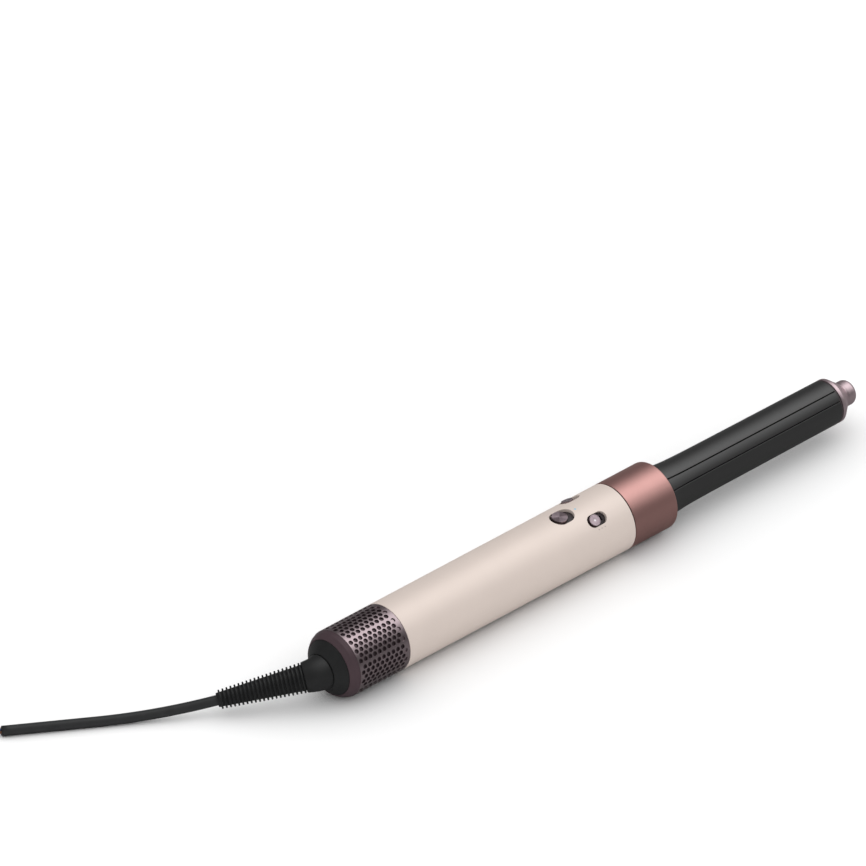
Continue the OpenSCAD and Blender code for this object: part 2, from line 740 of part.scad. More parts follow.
// A lip in the filter's frame, a cone, and a neck for the swivel hub
module tail_cap() color("#232426") turned([[tail_r - 3.2, frame_back + 3], [tail_r - 3.2, ring_back],
  [cap_bore, ring_back - 1.2], [cap_bore, cap_back + 2.2],
  [neck_bore + fit, cap_back + 2.2], [neck_bore + fit, cap_back], [boot_base_r + 0.3, cap_back],
  [boot_base_r + 1.4, cap_back + 0.4], [tail_r - 0.5, ring_back - 0.5], [tail_r, ring_back + 0.4],
  [tail_r, frame_back - 0.1], [tail_r - 1.85, frame_back - 0.1], [tail_r - 1.85, frame_back + 3]]);

module swivel_clip() color("#b9bcc0") turned([[clip_in, cap_back + 4.6], [cap_bore - fit, cap_back + 4.6],
  [cap_bore - fit, cap_back + 5.4], [clip_in, cap_back + 5.4]]);

// The hard hub that turns in the tail cap, and that the boot is moulded on
module swivel_hub() color("#2a2b2d") difference() {
  union() {
    rod(cap_back - 0.1, cap_back + 3.3, neck_bore);
    rod(cap_back + 3.2, cap_back + 4.4, hub_flange_r);
  }
  rod(cap_back - past, cap_back + 6, cord_r + 0.6);
}

// Places a shape that is built from the pivot towards -X along the boot
module boot_frame() translate([pivot_x, 0, 0]) rotate([0, -boot_dip, -boot_heading]) children();

// Radius of the boot's ribs at a distance from the pivot
function rib_r(s) = rib_first_r - (rib_first_r - rib_last_r) * (s - rib_first) / (rib_last - rib_first);

// Radius between the ribs
function groove_r(s) = rib_r(s) - rib_depth;

// A dome on the tail cap, and the ribbed sleeve that leaves it at the boot's angle
module cord_boot() color("#222325") difference() {
  dome = [for (i = [0:elbow_steps]) let (a = i * 90 / elbow_steps)
    [boot_base_r * sin(a), pivot_x - elbow_len * cos(a)]];
  ribs = [for (i = [0:boot_ribs - 1]) let (s = rib_first + i * rib_pitch) each [
    [groove_r(s), s - rib_w / 2 - 0.05], [rib_r(s), s - rib_w / 2 + 0.1],
    [rib_r(s), s + rib_w / 2 - 0.1], [groove_r(s), s + rib_w / 2 + 0.05]]];
  union() {
    turned(concat(dome, [[boot_base_r, cap_back - 0.8], [boot_base_r - 0.6, cap_back - 0.15],
      [0, cap_back - 0.15]]));
    boot_frame() rotate([0, -90, 0]) rotate_extrude($fn = sides) polygon(concat([[0, 1.5],
      [boot_sleeve_r - 0.4, 1.5], [boot_sleeve_r, 3], [boot_sleeve_r, 5.6], [groove_r(rib_first), 6.6]],
      ribs, [[groove_r(boot_len), boot_len], [0, boot_len]]));
  }
  rod(pivot_x - 1, cap_back + 1, cord_r + 0.6);
  boot_frame() translate([2, 0, 0]) rotate([0, -90, 0])
    cylinder(r = cord_r + fit, h = boot_len + 3, $fn = small_sides);
}

module swivel_washer() color("#d9d6cc") tube(cap_back + 2.3, cap_back + 3.1, 11.5, neck_bore + fit);

// The cord inside the boot, its bend down to the table, and its straight end
module power_cord() color("#3a3a3c") {
  boot_frame() translate([-1.5, 0, 0]) rotate([0, -90, 0])
    cylinder(r = cord_r, h = boot_len - 1.5, $fn = small_sides);
  translate([pivot_x, 0, 0]) rotate([0, 0, -boot_heading]) {
    translate([-bend_end, 0, bend_r - handle_r + cord_r]) rotate([90, 0, 0]) rotate([0, 0, -90])
      rotate_extrude(angle = boot_dip, $fn = sides) translate([bend_r, 0])
        circle(r = cord_r - 0.02, $fn = small_sides);
    translate([-bend_end, 0, cord_r - handle_r]) rotate([0, -90, 0])
      cylinder(r = cord_r, h = cord_reach - bend_end, $fn = small_sides);
  }
}

// The two conductors at the cord's cut end
module cord_conductors() color("#c07a45")
  translate([pivot_x, 0, 0]) rotate([0, 0, -boot_heading])
    for (side = [-1, 1]) translate([-cord_reach - fit, side * wire_gap / 2, cord_r - handle_r])
      rotate([0, -90, 0]) cylinder(r = conductor_r, h = 4, $fn = small_sides);

// ---------- assembly ----------

handle_sleeve();
seam_gasket();
outlet_spigot();
outlet_grille();
latch_spring();
spigot_seal();
control_tray();
control_board();
slide_switches();
status_light();
heater_tube();
heater_former();
heater_coil();
thermal_fuse();
air_duct();
chassis();
main_board();
board_parts();
board_screws();
mains_wires();
motor_bucket();
front_mount();
rear_mount();
motor_casing();
stator_core();
stator_coils();
front_bearing();
rear_bearing();
filter_frame();
tail_cap();
swivel_clip();
rotor_shaft();
rotor_magnet();
impeller();
impeller_nut();
power_button();
power_carriage();
flow_button();
flow_carriage();
heat_button();
heat_carriage();
barrel_collar();
barrel_base();
wide_staves();
narrow_staves();
barrel_end_ring();
cool_tip();
diverter_sleeve();
tip_spindle();
tip_screw();
filter_cage();
cage_rear_ring();
filter_mesh();
swivel_hub();
cord_boot();
swivel_washer();
power_cord();
cord_conductors();
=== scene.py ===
import json
import math

import bmesh
import bpy
from mathutils import Matrix, Vector

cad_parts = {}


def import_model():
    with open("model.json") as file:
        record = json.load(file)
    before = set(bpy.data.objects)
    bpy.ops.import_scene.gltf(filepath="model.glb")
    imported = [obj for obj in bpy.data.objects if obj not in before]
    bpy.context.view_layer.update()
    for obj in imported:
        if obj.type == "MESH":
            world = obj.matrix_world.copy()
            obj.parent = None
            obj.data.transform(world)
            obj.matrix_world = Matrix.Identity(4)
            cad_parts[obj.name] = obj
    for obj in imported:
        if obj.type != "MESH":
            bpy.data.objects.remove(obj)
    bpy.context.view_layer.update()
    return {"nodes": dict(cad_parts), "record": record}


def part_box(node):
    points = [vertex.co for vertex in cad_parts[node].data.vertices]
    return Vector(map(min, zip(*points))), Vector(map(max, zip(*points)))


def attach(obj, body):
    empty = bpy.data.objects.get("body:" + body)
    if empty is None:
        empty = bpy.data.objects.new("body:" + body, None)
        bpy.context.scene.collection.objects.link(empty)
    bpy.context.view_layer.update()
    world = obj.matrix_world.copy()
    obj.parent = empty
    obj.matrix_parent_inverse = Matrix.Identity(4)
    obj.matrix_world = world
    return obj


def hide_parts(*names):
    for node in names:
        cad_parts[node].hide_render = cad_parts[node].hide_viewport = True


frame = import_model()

# Automatic hair curler. The tool's axis is +X towards the cool tip, +Z is up from the floor it lies on,
# and an angle round the axis is counted in degrees from +Z towards -Y.

MM = 0.001
FLOOR_IN_METAL = 0.26
# Painted contact shadow on the floor: how strongly and how far ambient occlusion darkens its colour.
PAINTED_SHADOW_POWER = 0.12
PAINTED_SHADOW_REACH = 0.1
SKY_LIGHT = 1.2
SKY_IN_METAL = 0.14
SOFTBOX_AWAY = 1.4
ROUND_SIDES = 144
SMALL_SIDES = 48


# ---------- places, from the frame ----------

def low_x(node):
    """The tail-side end of a CAD node, along the axis."""
    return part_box(node)[0].x


def high_x(node):
    """The tip-side end of a CAD node, along the axis."""
    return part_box(node)[1].x


def radius_of(node):
    """Half the height of a CAD node that is round about the axis."""
    low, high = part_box(node)
    return (high.z - low.z) / 2


def middle(node):
    """The middle of a CAD node's box."""
    low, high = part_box(node)
    return (low + high) / 2


def mount(name):
    """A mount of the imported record."""
    return next(m for m in frame["record"]["mounts"] if m["name"] == name)


HANDLE_R = radius_of("handle_sleeve")
SLEEVE_IN = HANDLE_R - 2 * MM
BUTTON_ROLL = 5
FLOW_ANGLE = BUTTON_ROLL + 34
HEAT_ANGLE = BUTTON_ROLL - 34
BUTTON_PROUD = 0.5 * MM

# The axis frames that pieces are turned in: local +Z is the axis that a piece is round about
TOOL_AXIS = Matrix(((0, 0, 1), (0, -1, 0), (1, 0, 0))).to_4x4()


def radial_frame(x, angle):
    """A frame on the tool's axis at x, whose +Z points outwards at an angle round the axis."""
    a = math.radians(angle)
    out = Vector((0, -math.sin(a), math.cos(a)))
    side = out.cross(Vector((1, 0, 0)))
    turn = Matrix(((1, side.x, out.x), (0, side.y, out.y), (0, side.z, out.z))).to_4x4()
    return Matrix.Translation((x, 0, 0)) @ turn


# ---------- meshes ----------

class Shell:
    """The points, normals and faces of a piece that is being built."""

    def __init__(self):
        self.points = []
        self.normals = []
        self.faces = []

    def add(self, point, normal):
        """Adds one point and returns its number."""
        self.points.append(Vector(point))
        self.normals.append(Vector(normal).normalized())
        return len(self.points) - 1

    def strip(self, a, b, closed=True):
        """Joins two rows of points with four-sided faces."""
        n = len(a)
        for i in range(n if closed else n - 1):
            j = (i + 1) % n
            self.faces.append((a[i], a[j], b[j], b[i]))

    def fan(self, pole, ring):
        """Joins a ring of points to one point."""
        for i in range(len(ring)):
            self.faces.append((ring[i], ring[(i + 1) % len(ring)], pole))

    def piece(self, name, body, slot, material, nodes=()):
        """Makes the piece, rides it on its body and lets it stand for CAD nodes."""
        mesh = bpy.data.meshes.new(name)
        mesh.from_pydata([tuple(p) for p in self.points], [], self.faces)
        work = bmesh.new()
        work.from_mesh(mesh)
        bmesh.ops.recalc_face_normals(work, faces=work.faces)
        for face in work.faces:
            face.smooth = True
        work.to_mesh(mesh)
        work.free()
        if self.normals:
            mesh.normals_split_custom_set_from_vertices([tuple(n) for n in self.normals])
        mesh.materials.append(material)
        made = bpy.data.objects.new(name, mesh)
        bpy.context.scene.collection.objects.link(made)
        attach(made, body)
        if nodes:
            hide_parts(*nodes)
        return made


def rounded(shadow_occlusion, steps=5):
    """A closed outline from (a, b, radius) corners, with arcs at the corners.

    It is a list of (a, b, normal a, normal b) points."""
    n = len(shadow_occlusion)
    area = sum(shadow_occlusion[i][0] * shadow_occlusion[(i + 1) % n][1] - shadow_occlusion[(i + 1) % n][0] * shadow_occlusion[i][1]
               for i in range(n))
    way = 1 if area > 0 else -1
    made = []
    for i in range(n):
        here = Vector(shadow_occlusion[i][:2])
        back = (Vector(shadow_occlusion[i - 1][:2]) - here).normalized()
        ahead = (Vector(shadow_occlusion[(i + 1) % n][:2]) - here).normalized()
        radius = shadow_occlusion[i][2]
        normal_in = Vector((-back.y, back.x)) * way
        normal_out = Vector((ahead.y, -ahead.x)) * way
        if radius <= 0:
            made.append((here.x, here.y, *(normal_in + normal_out).normalized()))
            continue
        half = back.angle(ahead) / 2
        reach = radius / math.tan(half)
        bend = back.cross(ahead) * way
        start = here + back * reach
        centre = start - normal_in * radius if bend < 0 else start + normal_in * radius
        for k in range(steps + 1):
            t = k / steps
            turn = normal_in.slerp(normal_out, t) if normal_in.angle(normal_out) > 1e-6 else normal_in
            spot = centre + turn * radius if bend < 0 else centre - turn * radius
            made.append((spot.x, spot.y, turn.x, turn.y))
    return made


def lathe(shell, outline, axis_frame, sides=ROUND_SIDES):
    """Turns a closed outline of (radius, height, normal...) points about a frame's +Z."""
    turn = axis_frame.to_3x3()
    rings = []
    for r, h, nr, nh in outline:
        if r < 1e-9:
            facing = Vector((0, 0, 1 if nh > 0 else -1))
            rings.append([shell.add(axis_frame @ Vector((0, 0, h)), turn @ facing)])
            continue
        ring = []
        for i in range(sides):
            a = 2 * math.pi * i / sides
            c, s = math.cos(a), math.sin(a)
            normal = turn @ Vector((nr * c, nr * s, nh))
            ring.append(shell.add(axis_frame @ Vector((r * c, r * s, h)), normal))
        rings.append(ring)
    for a, b in zip(rings, rings[1:] + rings[:1]):
        if len(a) == 1 and len(b) == 1:
            continue
        if len(a) == 1:
            shell.fan(a[0], b)
        elif len(b) == 1:
            shell.fan(b[0], a)
        else:
            shell.strip(a, b)
    return shell


def on_tube(x, angle, r):
    """A point at a place along the axis, an angle round it and a radius."""
    a = math.radians(angle)
    return Vector((x, -r * math.sin(a), r * math.cos(a)))


def outward(angle):
    """The direction away from the axis at an angle round it."""
    return on_tube(0, angle, 1)


def pierced_tube(shell, xs, angles, outer, inner, edge, holes):
    """A tube whose wall is a grid. At each hole, rings that run to its rounded rim take the cells' place.

    A hole is (i0, i1, j0, j1, straight, radius, rim, depth): the grid lines round it, half its straight
    length, its radius, the radius of its rim and its depth, or None where it goes through."""
    columns, rows = len(xs), len(angles)
    inner_xs = [xs[0] - edge] + list(xs[1:-1]) + [xs[-1] + edge]
    top = [[shell.add(on_tube(x, a, outer), outward(a)) for a in angles] for x in xs]
    under = [[shell.add(on_tube(x, a, inner), -outward(a)) for a in angles] for x in inner_xs]
    open_top, open_under = set(), set()
    for i0, i1, j0, j1, straight, radius, rim, depth in holes:
        cells = {(i, j % rows) for i in range(i0, i1) for j in range(j0, j1)}
        open_top |= cells
        if depth is None:
            open_under |= cells
        pierce(shell, xs, angles, top, under, outer, inner, (i0, i1, j0, j1), straight, radius, rim, depth)
    for i in range(columns - 1):
        for j in range(rows):
            k = (j + 1) % rows
            if (i, j) not in open_top:
                shell.faces.append((top[i][j], top[i][k], top[i + 1][k], top[i + 1][j]))
            if (i, j) not in open_under:
                shell.faces.append((under[i][j], under[i + 1][j], under[i + 1][k], under[i][k]))
    for column, way in ((0, -1), (columns - 1, 1)):
        last = top[column]
        end = inner_xs[column]
        for step in range(1, 5):
            t = math.radians(step * 22.5)
            x = end - way * edge * (1 - math.sin(t))
            r = outer - edge * (1 - math.cos(t))
            ring = [shell.add(on_tube(x, a, r), outward(a) * math.cos(t) + Vector((way * math.sin(t), 0, 0)))
                    for a in angles]
            shell.strip(last, ring)
            last = ring
        shell.strip(last, under[column])
    return shell


def pierce(shell, xs, angles, top, under, outer, inner, cell, straight, radius, rim, depth):
    """The rings of one hole of a pierced tube: from the grid to the rim, and down to the inside or bottom."""
    i0, i1, j0, j1 = cell
    rows = len(angles)
    walk = [(i, j0) for i in range(i0, i1)] + [(i1, j) for j in range(j0, j1)]
    walk += [(i, j1) for i in range(i1, i0, -1)] + [(i0, j) for j in range(j1, j0, -1)]
    first, last = angles[j0 % rows], angles[j1 % rows]
    if j1 >= rows or last < first:
        last += 360
    mid_angle, mid_x = (first + last) / 2, (xs[i0] + xs[i1]) / 2
    out, along = outward(mid_angle), Vector((1, 0, 0))
    side = outward(mid_angle + 90)
    ways = []
    for i, j in walk:
        turn = math.radians(angles[j % rows] - mid_angle)
        spot = Vector((xs[i] - mid_x, outer * math.sin(turn)))
        core = Vector((max(-straight, min(straight, spot.x)), 0))
        ways.append((core, (spot - core).normalized()))

    def ring(rho, r, lean):
        """Points at a distance rho from the hole's core, at radius r, whose normals lean into the hole."""
        made = []
        for core, way in ways:
            x, y = core + way * rho
            rise = math.sqrt(r * r - y * y)
            up = (side * y + out * rise) / r
            into = -(along * way.x + side * way.y)
            point = Vector((mid_x + x, 0, 0)) + side * y + out * rise
            made.append(shell.add(point, up * math.cos(lean) + into * math.sin(lean)))
        return made

    row = [top[i][j % rows] for i, j in walk]
    for rho, r, lean in [(radius + 2 * rim, outer, 0), (radius + rim, outer, 0)] + [
            (radius + rim * (1 - math.sin(t)), outer - rim * (1 - math.cos(t)), t)
            for t in (math.pi / 6, math.pi / 3, math.pi / 2)]:
        made = ring(rho, r, lean)
        shell.strip(row, made)
        row = made
    if depth is None:
        made = ring(radius, inner, math.pi / 2)
        shell.strip(row, made)
        shell.strip(made, [under[i][j % rows] for i, j in walk])
        return
    for rho, r, lean in ((radius, outer - depth * 0.8, math.pi / 2), (radius - rim, outer - depth, 0),
                         (radius * 0.3, outer - depth, 0)):
        made = ring(rho, r, lean)
        shell.strip(row, made)
        row = made
    shell.fan(shell.add(on_tube(mid_x, mid_angle, outer - depth), out), row)


def loft(shell, sections):
    """Joins closed rings of (point, normal) pairs, and closes both ends with fans."""
    rings = [[shell.add(p, n) for p, n in section] for section in sections]
    for a, b in zip(rings, rings[1:]):
        shell.strip(a, b)
    for ring in (rings[0], rings[-1]):
        centre = sum((shell.points[i] for i in ring), Vector()) / len(ring)
        halfway = rings[len(rings) // 2]
        away = centre - sum((shell.points[i] for i in halfway), Vector()) / len(ring)
        shell.fan(shell.add(centre, away), ring)
    return shell


# ---------- materials ----------

def by_ray(tree, ray, usual, special):
    """A number that is different for one kind of ray. Usual is a number or another node's output."""
    path = tree.nodes.new("ShaderNodeLightPath")
    made = tree.nodes.new("ShaderNodeMix")
    made.data_type = "FLOAT"
    tree.links.new(path.outputs[ray], made.inputs["Factor"])
    if isinstance(usual, (int, float)):
        made.inputs["A"].default_value = usual
    else:
        tree.links.new(usual, made.inputs["A"])
    made.inputs["B"].default_value = special
    return made.outputs["Result"]


def nodes_of(name):
    """A new material with its node tree, shader and object coordinates."""
    material = bpy.data.materials.new(name)
    material.use_nodes = True
    tree = material.node_tree
    shader = tree.nodes["Principled BSDF"]
    where = tree.nodes.new("ShaderNodeTexCoord").outputs["Object"]
    return material, tree, shader, where


def noise(tree, where, scale, detail=3, rough=0.5, stretch=None):
    """A noise pattern over the object, stretched along the axis where asked."""
    if stretch:
        mapping = tree.nodes.new("ShaderNodeMapping")
        mapping.inputs["Scale"].default_value = stretch
        tree.links.new(where, mapping.inputs["Vector"])
        where = mapping.outputs["Vector"]
    made = tree.nodes.new("ShaderNodeTexNoise")
    made.inputs["Scale"].default_value = scale
    made.inputs["Detail"].default_value = detail
    made.inputs["Roughness"].default_value = rough
    tree.links.new(where, made.inputs["Vector"])
    return made.outputs["Fac"]


def spread(tree, value, low, high):
    """Maps a 0.3 to 0.7 pattern to the range low to high."""
    made = tree.nodes.new("ShaderNodeMapRange")
    made.inputs["From Min"].default_value = 0.3
    made.inputs["From Max"].default_value = 0.7
    made.inputs["To Min"].default_value = low
    made.inputs["To Max"].default_value = high
    tree.links.new(value, made.inputs["Value"])
    return made.outputs["Result"]


def two_tone(tree, value, dark, light):
    """A colour that goes from dark to light with a pattern."""
    made = tree.nodes.new("ShaderNodeMix")
    made.data_type = "RGBA"
    made.inputs["A"].default_value = (*dark, 1)
    made.inputs["B"].default_value = (*light, 1)
    tree.links.new(spread(tree, value, 0, 1), made.inputs["Factor"])
    return made.outputs["Result"]


def bump(tree, shader, height, depth):
    """Raises the shading by a pattern, by a depth in metres."""
    made = tree.nodes.new("ShaderNodeBump")
    made.inputs["Strength"].default_value = 1
    made.inputs["Distance"].default_value = depth
    tree.links.new(height, made.inputs["Height"])
    tree.links.new(made.outputs["Normal"], shader.inputs["Normal"])
    return made


def shade(colour, factor):
    """A colour made darker or lighter."""
    return tuple(min(1.0, c * factor) for c in colour)


def surface(name, colour, rough, metallic=0.0, mottle=0.05, blotch=120, grain=2600, depth=0.004 * MM,
            coat=0.0, sheen=0.0, specular=0.5, stretch=None):
    """A material with a mottled colour, an uneven gloss and a fine grain."""
    material, tree, shader, where = nodes_of(name)
    wide = noise(tree, where, blotch, detail=4, stretch=stretch)
    fine = noise(tree, where, grain, detail=2, stretch=stretch)
    tree.links.new(two_tone(tree, wide, shade(colour, 1 - mottle), shade(colour, 1 + mottle)),
                   shader.inputs["Base Color"])
    tree.links.new(spread(tree, fine, rough * 0.9, rough * 1.12), shader.inputs["Roughness"])
    shader.inputs["Metallic"].default_value = metallic
    shader.inputs["Coat Weight"].default_value = coat
    shader.inputs["Coat Roughness"].default_value = 0.3
    shader.inputs["Sheen Weight"].default_value = sheen
    shader.inputs["Specular IOR Level"].default_value = specular
    bump(tree, shader, fine, depth)
    return material


def satin_shell():
    """Warm pale pearl paint with a satin sheen and a fine grain."""
    return surface("satin_shell", (0.666, 0.573, 0.52), 0.5, metallic=0.2, mottle=0.012, blotch=70,
                   grain=3000, depth=0.002 * MM)


def rose_metal():
    """Anodised rose metal, bead-blasted to a satin."""
    return surface("rose_metal", (0.63, 0.355, 0.33), 0.44, metallic=1.0, mottle=0.02, blotch=90,
                   grain=3200, depth=0.003 * MM)


def barrel_dark():
    """Dark satin moulding of the barrel."""
    return surface("barrel_dark", (0.007, 0.0073, 0.0073), 0.45, mottle=0.06, blotch=60, grain=2200,
                   depth=0.004 * MM, specular=1.0)


def dark_plastic():
    """Plain dark moulded plastic of the inner parts."""
    return surface("dark_plastic", (0.034, 0.023, 0.027), 0.5, mottle=0.1, blotch=200, grain=1500,
                   depth=0.008 * MM)


def tip_metal():
    """Pinkish nickel plating, with fine turning marks round the axis."""
    return surface("tip_metal", (0.64, 0.51, 0.54), 0.42, metallic=1.0, mottle=0.03, blotch=200,
                   grain=1800, depth=0.003 * MM, stretch=(3.0, 0.25, 0.25))


def cage_metal():
    """Purple-brown metallic finish of the filter cage."""
    return surface("cage_metal", (0.42, 0.34, 0.36), 0.3, metallic=1.0, mottle=0.05, blotch=140,
                   grain=2600, depth=0.003 * MM)


def ring_metal():
    """The cage's rear ring: the same finish on plastic, less metallic."""
    return surface("ring_metal", (0.080, 0.050, 0.059), 0.42, metallic=0.4, mottle=0.05, blotch=140,
                   grain=2600, depth=0.003 * MM)


def rubber_black():
    """Soft black rubber."""
    return surface("rubber_black", (0.011, 0.0115, 0.012), 0.52, mottle=0.12, blotch=180, grain=1400,
                   depth=0.01 * MM)


def cord_rubber():
    """Dark grey cord jacket with faint lengthwise streaks."""
    return surface("cord_rubber", (0.02, 0.021, 0.022), 0.5, mottle=0.12, blotch=200, grain=1200,
                   depth=0.01 * MM)


def mesh_steel():
    """Fine woven steel cloth behind the cage's holes."""
    material, tree, shader, where = nodes_of("mesh_steel")
    threads = []
    for axis in ("X", "Y"):
        wave = tree.nodes.new("ShaderNodeTexWave")
        wave.bands_direction = axis
        wave.inputs["Scale"].default_value = 1100
        tree.links.new(where, wave.inputs["Vector"])
        threads.append(wave.outputs["Fac"])
    weave = tree.nodes.new("ShaderNodeMath")
    weave.operation = "MAXIMUM"
    tree.links.new(threads[0], weave.inputs[0])
    tree.links.new(threads[1], weave.inputs[1])
    tree.links.new(two_tone(tree, weave.outputs["Value"], (0.012, 0.006, 0.008), (0.12, 0.09, 0.10)),
                   shader.inputs["Base Color"])
    shader.inputs["Metallic"].default_value = 0.9
    shader.inputs["Roughness"].default_value = 0.38
    bump(tree, shader, weave.outputs["Value"], 0.02 * MM)
    return material


def painted_sheen_wedges(tree, away, along):
    """1 near a line through the centre of a turned face and 0 across it: the mask of painted dark wedges that
    stand in for the reflected sheen of its rings.
    """
    unit = tree.nodes.new("ShaderNodeVectorMath")
    unit.operation = "NORMALIZE"
    tree.links.new(away, unit.inputs[0])
    dot = tree.nodes.new("ShaderNodeVectorMath")
    dot.operation = "DOT_PRODUCT"
    dot.inputs[1].default_value = along
    tree.links.new(unit.outputs["Vector"], dot.inputs[0])
    size = tree.nodes.new("ShaderNodeMath")
    size.operation = "ABSOLUTE"
    tree.links.new(dot.outputs["Value"], size.inputs[0])
    made = tree.nodes.new("ShaderNodeMapRange")
    made.interpolation_type = "SMOOTHSTEP"
    made.inputs["From Min"].default_value = 0.6
    made.inputs["From Max"].default_value = 0.97
    tree.links.new(size.outputs["Value"], made.inputs["Value"])
    return made.outputs["Result"]


def mixed(tree, factor, first, second):
    """Mixes two colours by a pattern. Each is a socket or a plain colour."""
    made = tree.nodes.new("ShaderNodeMix")
    made.data_type = "RGBA"
    tree.links.new(factor, made.inputs["Factor"])
    for colour, place in ((first, made.inputs["A"]), (second, made.inputs["B"])):
        if isinstance(colour, tuple):
            place.default_value = (*colour, 1)
        else:
            tree.links.new(colour, place)
    return made.outputs["Result"]


def turned_metal(name, centre, out, large):
    """A turned metal face with fine rings. A small one has a painted highlight in its middle, a large one
    painted dark wedges of reflected sheen.
    """
    material, tree, shader, where = nodes_of(name)
    geometry = tree.nodes.new("ShaderNodeNewGeometry").outputs["Position"]
    away = tree.nodes.new("ShaderNodeVectorMath")
    away.operation = "SUBTRACT"
    away.inputs[1].default_value = centre
    tree.links.new(geometry, away.inputs[0])
    round_it = tree.nodes.new("ShaderNodeVectorMath")
    round_it.operation = "CROSS_PRODUCT"
    round_it.inputs[0].default_value = out
    tree.links.new(away.outputs["Vector"], round_it.inputs[1])
    tree.links.new(round_it.outputs["Vector"], shader.inputs["Tangent"])
    length = tree.nodes.new("ShaderNodeVectorMath")
    length.operation = "LENGTH"
    tree.links.new(round_it.outputs["Vector"], length.inputs[0])
    rings = tree.nodes.new("ShaderNodeMath")
    rings.operation = "SINE"
    scaled = tree.nodes.new("ShaderNodeMath")
    scaled.operation = "MULTIPLY"
    scaled.inputs[1].default_value = 2 * math.pi / (0.28 * MM)
    tree.links.new(length.outputs["Value"], scaled.inputs[0])
    tree.links.new(scaled.outputs["Value"], rings.inputs[0])
    wide = two_tone(tree, noise(tree, where, 500), (0.45, 0.36, 0.395), (0.51, 0.41, 0.45))
    if large:
        # Painted reflection: a large face gets dark wedges along the axis, standing in for the sheen of its
        # rings.
        face = mixed(tree, painted_sheen_wedges(tree, away.outputs["Vector"], (0.98, 0.19, 0)), wide, (0.2, 0.155, 0.17))
    else:
        # Painted highlight: a near-white middle stands in for the glint at the centre of the rings.
        painted_glint = tree.nodes.new("ShaderNodeMapRange")
        painted_glint.inputs["From Min"].default_value = 0.25 * MM
        painted_glint.inputs["From Max"].default_value = 0.9 * MM
        tree.links.new(length.outputs["Value"], painted_glint.inputs["Value"])
        face = mixed(tree, painted_glint.outputs["Result"], (0.92, 0.89, 0.90), wide)
    tree.links.new(face, shader.inputs["Base Color"])
    shader.inputs["Metallic"].default_value = 1.0
    shader.inputs["Roughness"].default_value = 0.30
    shader.inputs["Anisotropic"].default_value = 0.85
    bump(tree, shader, rings.outputs["Value"], 0.004 * MM)
    return material


def steel():
    """Plain brushed steel."""
    return surface("steel", (0.55, 0.56, 0.58), 0.32, metallic=1.0, mottle=0.05, blotch=300, grain=1200,
                   stretch=(0.3, 2.0, 2.0))


def copper():
    """Enamelled copper wire."""
    return surface("copper", (0.62, 0.27, 0.13), 0.3, metallic=1.0, mottle=0.1, blotch=400, grain=1500,
                   stretch=(3.0, 1.0, 1.0))


def magnet():
    """Grey plated magnet."""
    return surface("magnet", (0.16, 0.16, 0.17), 0.35, metallic=0.8, mottle=0.08, blotch=300)


def board():
    """Lacquered circuit board with faint tracks."""
    return surface("board", (0.02, 0.10, 0.05), 0.35, mottle=0.35, blotch=700, coat=0.4,
                   stretch=(1.0, 3.0, 1.0))


def mica():
    """Flaky mica sheet."""
    return surface("mica", (0.60, 0.53, 0.38), 0.45, mottle=0.2, blotch=500, coat=0.3)


def white_plastic():
    """Off-white engineering plastic."""
    return surface("white_plastic", (0.62, 0.60, 0.56), 0.45, mottle=0.04, blotch=200)


def wire_red():
    """Red wire insulation."""
    return surface("wire_red", (0.35, 0.03, 0.025), 0.4, mottle=0.1, blotch=300)


def wire_tone(name, colour):
    """Insulation of one conductor of the cord."""
    return surface(name, colour, 0.4, mottle=0.1, blotch=400)


def light_lens():
    """Glowing pale blue lens of the status light."""
    material, tree, shader, where = nodes_of("light_lens")
    glow = two_tone(tree, noise(tree, where, 1500), (0.10, 0.34, 0.48), (0.16, 0.42, 0.56))
    tree.links.new(glow, shader.inputs["Base Color"])
    tree.links.new(glow, shader.inputs["Emission Color"])
    shader.inputs["Emission Strength"].default_value = 0.25
    shader.inputs["Roughness"].default_value = 0.2
    return material


def floor_white():
    """Plain pale floor, very faintly uneven, darkened near the tool by a painted contact shadow, and darker
    in reflections so that metal keeps its depth.
    """
    material, tree, shader, where = nodes_of("floor_white")
    tone = two_tone(tree, noise(tree, where, 4), (0.925, 0.925, 0.925), (0.935, 0.935, 0.935))
    # Painted shadow: ambient occlusion darkens the floor's colour near the tool for all but glossy rays.
    shadow_occlusion = tree.nodes.new("ShaderNodeAmbientOcclusion")
    shadow_occlusion.samples = 6
    shadow_occlusion.inputs["Distance"].default_value = PAINTED_SHADOW_REACH
    painted_shadow = tree.nodes.new("ShaderNodeMath")
    painted_shadow.operation = "POWER"
    painted_shadow.inputs[1].default_value = PAINTED_SHADOW_POWER
    tree.links.new(shadow_occlusion.outputs["AO"], painted_shadow.inputs[0])
    dimmed = tree.nodes.new("ShaderNodeVectorMath")
    dimmed.operation = "SCALE"
    tree.links.new(tone, dimmed.inputs["Vector"])
    brightness = by_ray(tree, "Is Glossy Ray", painted_shadow.outputs["Value"], FLOOR_IN_METAL)
    tree.links.new(brightness, dimmed.inputs["Scale"])
    tree.links.new(dimmed.outputs["Vector"], shader.inputs["Base Color"])
    shader.inputs["Roughness"].default_value = 0.9
    shader.inputs["Specular IOR Level"].default_value = 0
    return material


MAKERS = {
    "shell": satin_shell, "rose_metal": rose_metal, "barrel_dark": barrel_dark,
    "dark_plastic": dark_plastic, "tip_metal": tip_metal, "button_metal": steel,
    "cage_metal": cage_metal, "mesh_steel": mesh_steel, "rubber": rubber_black,
    "cord_rubber": cord_rubber, "light": light_lens, "steel": steel, "copper": copper,
    "magnet": magnet, "board": board, "mica": mica, "white_plastic": white_plastic,
    "wire_red": wire_red,
}
MATERIALS = {slot: maker() for slot, maker in MAKERS.items()}


